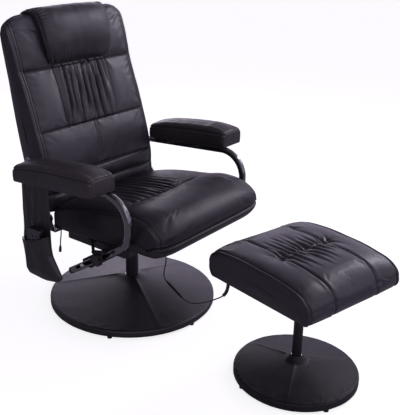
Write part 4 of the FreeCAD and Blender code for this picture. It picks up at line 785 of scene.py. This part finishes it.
# Headrest pillow: a soft flap-over pillow that is sewn into the upper cross seam and folds over
# the back's top, wider above than at its foot, with gathers at its upper corners.
pillow_front = ((0.569, 0.736), (0.494, 0.772), (0.452, 0.830), (0.470, 0.900), (0.540, 0.972), (0.655, 1.018),
                (0.800, 1.031), (0.930, 1.022), (1.025, 0.998), (1.050, 0.968), (1.005, 0.960))
pillow_edge_front = ((0.569, 0.740), (0.548, 0.776), (0.540, 0.832), (0.580, 0.898), (0.640, 0.956), (0.725, 1.000),
                     (0.830, 1.018), (0.930, 1.014), (1.010, 0.996), (1.028, 0.970), (1.005, 0.962))
pillow_under = ((1.005, 0.960), (0.984, 0.992), (0.908, 1.004), (0.830, 0.998), (0.770, 0.972), (0.736, 0.944),
                (0.680, 0.895), (0.630, 0.835), (0.596, 0.780), (0.569, 0.736))
pillow_count, pillow_half = 76, 0.15


def pillow_width(z):
    return float(np.interp(z, (0.80, 0.822, 0.848, 0.884, 0.942, 1.01), (0.124, 0.131, 0.142, 0.150, 0.155, 0.153)))


def pillow_loop(front):
    """One side outline of the pillow: its face and top, then its underside on the back."""
    under = [front[-1]] + list(pillow_under[1:-1]) + [front[0]]
    return np.array([back_point(*p) for p in np.vstack([flowing(front, pillow_count), flowing(under, pillow_count)])])


pillow_x, pillow_crown = crowded(84, ((1.0, 0.3, 1.5),)), round_crown(0.40, 2.2)
pillow_middle, pillow_edge = pillow_loop(pillow_front), pillow_loop(pillow_edge_front)
pillow_rows = []
for share in pillow_x:
    outline = pillow_edge + (pillow_middle - pillow_edge) * pillow_crown(abs(share))
    # the flap over the top is a little wider than the pillow
    flap = 0.020 * np.clip((outline[:, 0] - 0.265) / 0.04, 0, 1)
    wide = np.array([pillow_width(z) for z in outline[:, 1]]) + flap
    pillow_rows.append(np.column_stack([share * wide, outline]))
pillow_grid = shell_grid(np.array(pillow_rows), 0.003, side_rows)
pillow_flat, pillow_u, pillow_v, pillow_column = flat_pattern(pillow_grid, pillow_x * pillow_half, side_rows, 0.03)
pillow_side = np.abs(pillow_u) / pillow_half
pillow_face = np.clip(pillow_column / 3.0, 0, 1) * (pillow_column < pillow_count - 3)
high_up = np.clip((pillow_grid[:, :, 2] - 0.925) / 0.03, 0, 1)
# gathers at the upper corners
corner = np.clip((pillow_side - 0.70) / 0.30, 0, 1.2)
pillow_lift = 0.0042 * np.sin(pillow_v * 520 + uneven(pillow_grid, (2.0, 30.0, 5.0))) * corner ** 1.5 * high_up
pillow_lift += uneven(pillow_grid, (0.0030, 8.0, 2.2), (0.0010, 34.0, 3.2))
pillow_lift += 0.0016 * np.sin(pillow_u * 260 + 2 * np.sin(pillow_u * 90)) * np.exp(-pillow_v / 0.02)
pillow_lift += dip(pillow_side - 0.985, 0.003, 0.02)
pillow_grid = pillow_grid + normals_of(pillow_grid, 20, 1, -1) * (pillow_lift * pillow_face)[:, :, None]
pillow_pins = ((pillow_face < 0.9) | (pillow_side > 0.96)).astype(float)
pillow_leather = stitched("pillow_leatherette", (0.012, 0.011, 0.0135), (0.019, 0.017, 0.021), 0.42,
                          [("u", 0.149, 0.0, pillow_v[0, pillow_count - 1])])
pillow = wrapped("headrest_cover", pillow_grid, pillow_leather, pillow_flat, pillow_pins)
puffed(pillow, 0.004)
finer(pillow)
fitted(pillow, "backrest", "leatherette", "headrest_pillow")

# Seat cushion: a pleated rear panel drawn into a cross seam, a full front roll, side boxes, and
# a piped lip along the front, over a lighter band that goes under to the board.
seat_runs = (
    ((0.000, 0.557),), ((0.303, 0.821), (0.612, 0.950)), ((0.765, 1.000), (0.908, 0.900)),
    ((0.991, 0.664), (1.000, 0.379)), ((0.985, 0.164), (0.908, 0.021)), ((0.0, 0.0),))
seat_edge_runs = (
    ((0.009, 0.379),), ((0.303, 0.614), (0.612, 0.793)), ((0.765, 0.829), (0.886, 0.736)),
    ((0.941, 0.593), (0.956, 0.421)), ((0.952, 0.307), (0.919, 0.214)), ((0.009, 0.040),))
seat_counts = (12, 60, 26, 28, 14, 140)
seat_half, seat_band, piping = 0.260, 0.2465, 0.0065


def seat_point(u, w):
    return 0.104 - u * 0.456, 0.322 + w * 0.140


seat_x = crowded(128, ((0.0, 0.55, 1.0), (0.94, 0.04, 1.5), (1.0, 0.03, 3.0)))
seat_grid, seat_ends = cushion_grid(seat_half, seat_x, round_crown(0.66, 2.0), seat_point,
                                    ((0.009, 0.040), (0.000, 0.000)), seat_edge_runs, seat_runs, seat_counts,
                                    0.006)
seat_flat, seat_u, seat_v, seat_column = flat_pattern(seat_grid, seat_x * seat_half, side_rows, 0.04)
seat_seams = [seat_flat[0, end, 1] for end in seat_ends]
seat_top = (seat_column > seat_ends[0]) & (seat_column < seat_ends[3])
rear, drawn_in = seat_seams[0] + 0.01, seat_seams[1] - 0.002
along_seam = np.clip((0.165 - np.abs(seat_u + 0.02)) / 0.05, 0, 1)
seat_lift = dip(seat_v - seat_seams[1], 0.0045, 0.0055) * along_seam * seat_top
# pleats over the whole rear panel, then short ones at the cross seam and at the panel's rear
pleat_lines = [(0.052, rear, 0.003, 0.030, drawn_in - 0.012, 0.0075), (0.026, rear, 0.004, 0.006, drawn_in, 0.0085),
               (0.000, rear, 0.003, -0.014, drawn_in, 0.0075), (-0.026, rear, 0.004, -0.052, drawn_in, 0.0085),
               (-0.058, rear, 0.004, -0.080, drawn_in, 0.008), (-0.094, rear, 0.003, -0.108, drawn_in, 0.0085),
               (-0.122, rear + 0.05, 0.0, -0.138, drawn_in, 0.0075),
               (-0.150, drawn_in - 0.10, 0.0, -0.168, drawn_in - 0.01, 0.006),
               (0.078, rear, 0.002, 0.056, drawn_in - 0.03, 0.006),
               (0.104, rear, 0.001, 0.080, drawn_in - 0.05, 0.004)]
for spot, reach in ((0.018, 0.07), (-0.004, 0.05), (-0.033, 0.09), (-0.066, 0.06), (-0.094, 0.09), (-0.124, 0.05)):
    pleat_lines.append((spot + 0.006, drawn_in - reach, 0.0, spot, drawn_in, 0.0055))
for spot in (-0.10, -0.06, -0.02, 0.02, 0.06, 0.10):
    pleat_lines.append((spot, rear - 0.01, 0.007, spot - 0.006, rear + 0.05, 0.0))
pleated = (seat_column > seat_ends[0]) & (seat_column <= seat_ends[1])
seat_lift += folds(seat_u, seat_v, pleat_lines, 0.0052, 0.35) * pleated
# short folds that run on over the front roll
roll_folds = [(spot - 0.01, drawn_in + 0.004, deep, spot + 0.004, drawn_in + reach, 0.0) for spot, deep, reach in
              ((-0.13, 0.003, 0.03), (-0.08, 0.004, 0.045), (-0.03, 0.003, 0.03), (0.01, 0.0035, 0.04))]
seat_lift += folds(seat_u, seat_v, roll_folds, 0.006) * (seat_column > seat_ends[1]) * seat_top
seat_lift += dip(np.abs(seat_u) - seat_band, 0.003, 0.003) * seat_top
seat_lift += dip(seat_v - seat_seams[3], 0.005, 0.0038)
seat_lift += hump(seat_v - seat_seams[3] + piping, 0.0018, 0.0035)
seat_lift += uneven(seat_grid, (0.0026, 8.0, 3.3), (0.0004, 36.0, 2.3)) * seat_top
seat_caps = np.abs(seat_u) > seat_half
seat_lift += uneven(seat_grid * np.array((1.0, 0.45, 1.6)), (0.0022, 16.0, 5.1)) * seat_caps
seat_grid = seat_grid + normals_of(seat_grid, seat_ends[1], 2, 1) * seat_lift[:, :, None]
seat_pins = ((seat_lift < -0.0035) | ~seat_top | seat_caps).astype(float)
seat_leather = stitched("seat_leatherette", (0.014, 0.0125, 0.0155), (0.022, 0.0195, 0.024), 0.39,
                        [("v", seat_seams[3], -0.30, 0.30), ("u", seat_band, seat_seams[0], seat_seams[3]),
                         ("v", seat_seams[1], -0.165, 0.115)],
                        [("u", seat_band - beside_seam, seat_seams[0], seat_seams[3]),
                         ("v", seat_seams[3] - 0.006, -0.25, 0.25)], shine=0.26)
seat = wrapped("seat_cushion_cover", seat_grid, seat_leather, seat_flat, seat_pins)
puffed(seat, 0.0018)
finer(seat)
fitted(seat, "seat", "leatherette", "seat_cushion")

# Footstool cushion: three panels with two long seams, piped side bands, and three tufts drawn
# down along its middle with folds that run off them to both sides.
stool_runs = (
    ((-0.947, 0.000),), ((-1.000, 0.200), (-0.985, 0.420)), ((-0.895, 0.720), (-0.720, 0.880)),
    ((-0.360, 0.975), (0.000, 1.000)), ((0.370, 0.995), (0.740, 0.970)), ((0.930, 0.830), (1.010, 0.500)),
    ((1.020, 0.250), (0.947, 0.000)))
stool_edge_runs = (
    ((-0.926, 0.000),), ((-0.975, 0.140), (-0.968, 0.280)), ((-0.900, 0.550), (-0.740, 0.710)),
    ((-0.380, 0.820), (0.000, 0.860)), ((0.400, 0.870), (0.760, 0.790)), ((0.930, 0.650), (0.990, 0.360)),
    ((0.985, 0.170), (0.926, 0.000)))
stool_counts = (130, 12, 20, 34, 36, 18, 10)
stool_half, stool_band, stool_seam = 0.184, 0.174, 0.085


def stool_point(u, w):
    return u * 0.190, 0.317 + w * 0.098


stool_x = crowded(112, ((0.0, 0.55, 0.8), (0.92, 0.04, 1.5), (1.0, 0.04, 2.5)))
stool_grid, stool_ends = cushion_grid(stool_half, stool_x, round_crown(0.6, 2.0), stool_point,
                                      ((0.926, 0.000), (0.947, 0.000)), stool_edge_runs, stool_runs, stool_counts,
                                      0.004)
stool_flat, stool_u, stool_v, stool_column = flat_pattern(stool_grid, stool_x * stool_half, side_rows, 0.035)
stool_side = np.abs(stool_u)
over = (stool_column > stool_ends[0]) & (stool_column < stool_ends[5])
depth = stool_grid[:, :, 1]
stool_lift = dip(stool_side - stool_seam, np.where(stool_u > 0, 0.0030, 0.0052), 0.0032) * over
stool_lift += hump(stool_side - (stool_seam + 0.010), 0.0010, 0.006) * over
stool_lift += dip(stool_side - stool_band, 0.004, 0.0028) * over
stool_lift += hump(stool_side - (stool_band + 0.005), 0.0016, 0.003) * over
for tuft in (-stool_seam, 0.0, stool_seam):
    stool_lift += dip(np.hypot(stool_u - tuft, depth * 0.9), 0.011, 0.020) * over
# folds that run off the row of tufts, first to the rear side, then to the front, then at both its ends
stool_folds = [
    (-0.072, 0.012, 0.006, -0.080, 0.085, 0.0), (-0.056, 0.006, 0.0065, -0.064, 0.110, 0.0),
    (-0.040, 0.004, 0.006, -0.045, 0.090, 0.001), (-0.020, 0.006, 0.007, -0.026, 0.125, 0.0),
    (-0.004, 0.012, 0.0065, -0.008, 0.100, 0.0), (0.014, 0.008, 0.006, 0.012, 0.120, 0.0),
    (0.034, 0.006, 0.0055, 0.034, 0.075, 0.0), (0.052, 0.004, 0.006, 0.056, 0.085, 0.0),
    (0.070, 0.008, 0.006, 0.078, 0.060, 0.0), (-0.070, -0.010, 0.006, -0.062, -0.075, 0.0),
    (-0.052, -0.006, 0.0065, -0.040, -0.105, 0.0), (-0.034, -0.004, 0.006, -0.020, -0.080, 0.0),
    (-0.016, -0.008, 0.007, 0.000, -0.115, 0.0), (0.002, -0.012, 0.006, 0.018, -0.095, 0.0),
    (0.022, -0.008, 0.006, 0.040, -0.100, 0.0), (0.042, -0.005, 0.0055, 0.060, -0.065, 0.0),
    (0.064, -0.008, 0.006, 0.078, -0.080, 0.0), (-0.100, 0.006, 0.004, -0.116, 0.045, 0.0),
    (-0.098, -0.006, 0.004, -0.108, -0.050, 0.0), (0.100, 0.006, 0.005, 0.118, 0.040, 0.0),
    (0.098, -0.006, 0.004, 0.120, -0.050, 0.0)]
stool_lift += folds(stool_u, depth, stool_folds, 0.0044, 0.35) * over
stool_lift += uneven(stool_grid, (0.0022, 8.0, 6.1), (0.0004, 40.0, 1.1)) * over
stool_caps = stool_side > stool_half
stool_lift += uneven(stool_grid * np.array((1.0, 0.6, 1.3)), (0.0026, 24.0, 2.1)) * stool_caps
stool_grid = stool_grid + normals_of(stool_grid, stool_ends[3], 2, 1) * stool_lift[:, :, None]
turned = stool_grid.copy()
c, s = math.cos(math.radians(stool_turn)), math.sin(math.radians(stool_turn))
turned[:, :, 0] = stool_centre[0] + stool_grid[:, :, 0] * c - stool_grid[:, :, 1] * s
turned[:, :, 1] = stool_centre[1] + stool_grid[:, :, 0] * s + stool_grid[:, :, 1] * c
span = (stool_v[0, stool_ends[0]], stool_v[0, stool_ends[6] - 1])
stool_pins = ((stool_lift < -0.0035) | ~over | stool_caps).astype(float)
stool_leather = stitched("stool_leatherette", (0.013, 0.0115, 0.015), (0.021, 0.0185, 0.024), 0.37,
                         [("u", stool_seam, *span), ("u", stool_band, *span)],
                         [("u", stool_seam + 0.0045, *span), ("u", stool_seam - 0.0045, *span),
                          ("u", stool_band - 0.005, *span)])
stool = wrapped("stool_cushion_cover", turned, stool_leather, stool_flat, stool_pins)
puffed(stool, 0.004)
finer(stool)
fitted(stool, "base", "leatherette", "stool_cushion")

# Arm pads: foam on a plywood strip, in a cover with a top panel, a seam along each side and round
# the front, and a squared front end.
pad_front, pad_back, pad_x = -0.188, 0.152, 0.322
pad_stations = [pad_front, -0.1865, -0.182, -0.174, -0.163, -0.150, -0.138, -0.126, *np.linspace(-0.115, 0.125, 40),
                0.134, 0.142, 0.148, 0.151, pad_back]
# points across the bottom, up a side, round to the top, over it, and down the other side
pad_counts = (48, 10, 7, 14, 7, 10)
pad_ends = np.cumsum(pad_counts)


def pad_bottom(y):
    """The height of the pad's flat bottom, which falls towards the back."""
    return 0.529 - 0.0667 * (y - pad_front)


def pad_loop(y):
    """One section of the pad across the chair, from its bottom outer corner round."""
    soft = min(1.0, max(min(y - pad_front, pad_back - y), 0.0) / (0.012 if y < 0 else 0.016))
    rounding = math.sqrt(max(0.0, 1 - (1 - soft) ** 2))
    half, bottom = 0.052 - 0.006 * (1 - rounding), pad_bottom(y) + 0.0003
    side = float(np.interp(y, (pad_front, -0.112, -0.048, 0.040, 0.144), (0.049, 0.050, 0.0515, 0.050, 0.043)))
    crown = float(np.interp(y, (pad_front, -0.174, -0.150, -0.115, 0.0, 0.085, 0.130, pad_back),
                            (0.003, 0.0105, 0.0195, 0.0265, 0.024, 0.022, 0.017, 0.008)))
    top = side - 0.004 * (1 - rounding)
    runs = (((half, 0.0),), ((half + 0.0025, top * 0.5), (half - 0.0005, top - 0.001)),
            ((half - 0.005, top + crown * 0.42), (half - 0.022, top + crown * 0.78)),
            ((0.0, top + crown), (0.022 - half, top + crown * 0.78)),
            ((0.005 - half, top + crown * 0.42), (0.0005 - half, top - 0.001)),
            ((-half - 0.0025, top * 0.5), (-half, 0.0)))
    points, _ = run_points((-half, 0.0), runs, pad_counts)
    return [(pad_x + px, y, bottom + pz) for px, pz in points[:-1]]


pad_grid = shell_grid(np.array([pad_loop(y) for y in pad_stations]), 0.0015, 5, outward=(0.0, 1.0, 0.0))
pad_flat, pad_u, pad_v, pad_column = flat_pattern(pad_grid, np.array(pad_stations), 5, 0.03)
pad_low, pad_high = pad_v[0, pad_ends[1]], pad_v[0, pad_ends[4]]
on_top = (pad_column >= pad_ends[1]) & (pad_column <= pad_ends[4])
pad_lift = np.zeros(pad_grid.shape[:2])
for seam_at in (pad_low, pad_high):
    seam_lift = dip(pad_v - seam_at, 0.0028, 0.0028) + hump(np.abs(pad_v - seam_at) - 0.006, 0.0010, 0.0035)
    pad_lift += seam_lift * (pad_u > -0.189) * (pad_u < 0.153)
pad_lift += dip(pad_u + 0.185, 0.0022, 0.0022) * on_top
puckers = 0.0016 * np.sin(pad_u * 260 + 3 * np.sin(pad_u * 60)) * np.exp(-np.abs(pad_u - pad_back) / 0.02)
pad_lift += puckers * (pad_column > pad_ends[0])
pad_lift += uneven(pad_grid, (0.0022, 12.0, 7.7), (0.0008, 45.0, 1.7)) * (pad_column > pad_ends[0] + 2)
pad_grid = pad_grid + normals_of(pad_grid, pad_ends[2] + 7, 2, 1) * pad_lift[:, :, None]
pad_leather = stitched("arm_pad_leatherette", (0.018, 0.0145, 0.0165), (0.029, 0.024, 0.026), 0.44,
                       [("v", pad_low, -0.20, 0.17), ("v", pad_high, -0.20, 0.17), ("U", -0.186, pad_low, pad_high),
                        ("U", 0.1505, pad_low, pad_high)],
                       [("v", pad_low + beside_seam, -0.18, 0.15), ("v", pad_high - beside_seam, -0.18, 0.15)])
for side, sign in (("left", 1), ("right", -1)):
    spots = pad_grid.copy()
    spots[:, :, 0] *= sign
    arm_pad = wrapped("arm_pad_cover_" + side, spots, pad_leather, pad_flat)
    finer(arm_pad)
    fitted(arm_pad, "carriage", "arm_leatherette", "arm_pad_" + side)

# Side pocket: a strap of soft leatherette sewn under the right arm pad, widening into a bag with
# a gathered mouth, where the hand control stands.
strap_front = ((0.208, 0.0164), (0.2207, -0.040), (0.2365, -0.0545), (0.300, -0.0145), (0.357, -0.0036),
               (0.525, -0.0036))
strap_rear = ((0.208, 0.0164), (0.2207, 0.0856), (0.322, 0.122), (0.401, 0.122), (0.525, 0.1184))
pocket_foot, strap_head, strap_x, bag_x = 0.2085, 0.5135, -0.3700, -0.3712
mouth_front, mouth_rear, mouth_sag = 0.364, 0.330, 0.005
# each hanging fold of the strap: its place across at the bag's mouth and at the pad, and its depth
strap_folds = ((0.30, 0.22, 0.0050), (0.55, 0.44, 0.0055), (0.68, 0.86, 0.0050), (0.84, 0.66, 0.0030))
pocket_leather = stitched("pocket_leatherette", (0.012, 0.0105, 0.012), (0.020, 0.0175, 0.0195), 0.44, wear=0.6)


def pocket_edges(z):
    """Where the pocket's front and rear edges are at a height."""
    return [float(np.interp(z, *zip(*line))) for line in (strap_front, strap_rear)]


def pocket_sheet(name, columns, rows, place, thickness):
    """A sheet of soft leatherette, from a function that turns its shares across and up into a place."""
    shape = bmesh.new()
    bmesh.ops.create_grid(shape, x_segments=columns, y_segments=rows, size=1.0)
    pattern = shape.loops.layers.uv.new("pattern")
    for vertex in shape.verts:
        spot = place((vertex.co.x + 1) / 2, (vertex.co.y + 1) / 2)
        for loop in vertex.link_loops:
            loop[pattern].uv = spot[1:]
        vertex.co = spot
    bmesh.ops.remove_doubles(shape, verts=shape.verts, dist=0.0001)
    bmesh.ops.recalc_face_normals(shape, faces=shape.faces)
    piece = smooth_object(shape, name, pocket_leather)
    thick = piece.modifiers.new("thick", "SOLIDIFY")
    thick.thickness = thickness
    thick.offset = 0.0
    finer(piece)
    fitted(piece, "carriage", "leatherette", "side_pocket")
    return piece


def strap_place(across, up):
    """The strap: smooth behind the bag, folded where it hangs free, and set inwards above the mouth."""
    z = pocket_foot + up * (strap_head - pocket_foot)
    front_y, rear_y = pocket_edges(z)
    y = front_y + across * (rear_y - front_y)
    z = min(z, pad_bottom(y))
    free = min(1, max(0, (z - 0.345) / 0.05)) * (1 - max(0.0, (z - 0.49) / 0.024) * 0.7)
    folded = 0.0
    for foot_at, head_at, deep in strap_folds:
        away = abs(across - (foot_at + (head_at - foot_at) * (z - 0.345) / 0.17))
        folded += deep * (0.45 * math.exp(-((away - 0.07) / 0.05) ** 2) - math.exp(-away / 0.035))
    folded += 0.0016 * noise.noise(Vector((across * 5, z * 22, 1)))
    inward = 0.0045 * min(1.0, max(0.0, (z - 0.325) / 0.035))
    return inward + strap_x - max(-0.0035, folded * free), y, z


def bag_place(across, up):
    """The bag: full in its middle, closed along its edges and foot, and gathered at its mouth."""
    top = mouth_front + across * (mouth_rear - mouth_front) - mouth_sag * math.sin(across * math.pi)
    z = pocket_foot + up * (top - pocket_foot)
    front_y, rear_y = pocket_edges(z)
    y = front_y + across * (rear_y - front_y)
    from_front = min(max(0.0, (y - front_y) / max(0.010 - front_y, 0.004)), 1.0)
    from_rear = min(max(0.0, (rear_y - y) / max(rear_y - 0.082, 0.004)), 1.0)
    full = from_front ** 0.42 * from_rear ** 0.62
    swollen = 0.0270 * full * min(1.0, (up / 0.30)) ** 0.5
    gather = 0.0020 * math.sin(across * math.pi * 13 + 2 * noise.noise(Vector((across * 4, z * 10, 2))))
    sag = 0.0016 * noise.noise(Vector((y * 30, z * 22, 5)))
    return bag_x - max(swollen + (gather * max(0.0, (up - 0.72) / 0.28) + sag) * full, 0.0), y, z


strap = pocket_sheet("pocket_strap", 40, 80, strap_place, 0.0020)
pocket_sheet("pocket_bag", 48, 52, bag_place, 0.0018)

# Hand control and its buttons, and the rear cover of the back.
dress(plain("control_shell", (0.007, 0.007, 0.008), rub=(30.0, 2.0, 0.12), rough=0.06, grain=(500.0, 0.00005, 0.3),
            Coat_Weight=0.5), "control_front", "control_rear")
keys = Finish("button_caps")
dress(keys.surface(Base_Color=keys.blend(keys.noise(scale=300.0), (0.030, 0.031, 0.034), (0.050, 0.051, 0.055)),
                   Roughness=keys.noise(scale=200.0) * 0.2 + 0.3),
      "button_power", "button_mode", "button_zone", "button_timer")
rear_panel, rear_tint, rear_gloss, rear_relief = leatherette("rear_panel_leatherette", (0.012, 0.011, 0.013),
                                                             (0.020, 0.018, 0.022), 0.42)
dress(rear_panel.surface(Base_Color=rear_tint, Roughness=rear_gloss, Normal=rear_relief), "back_cover")
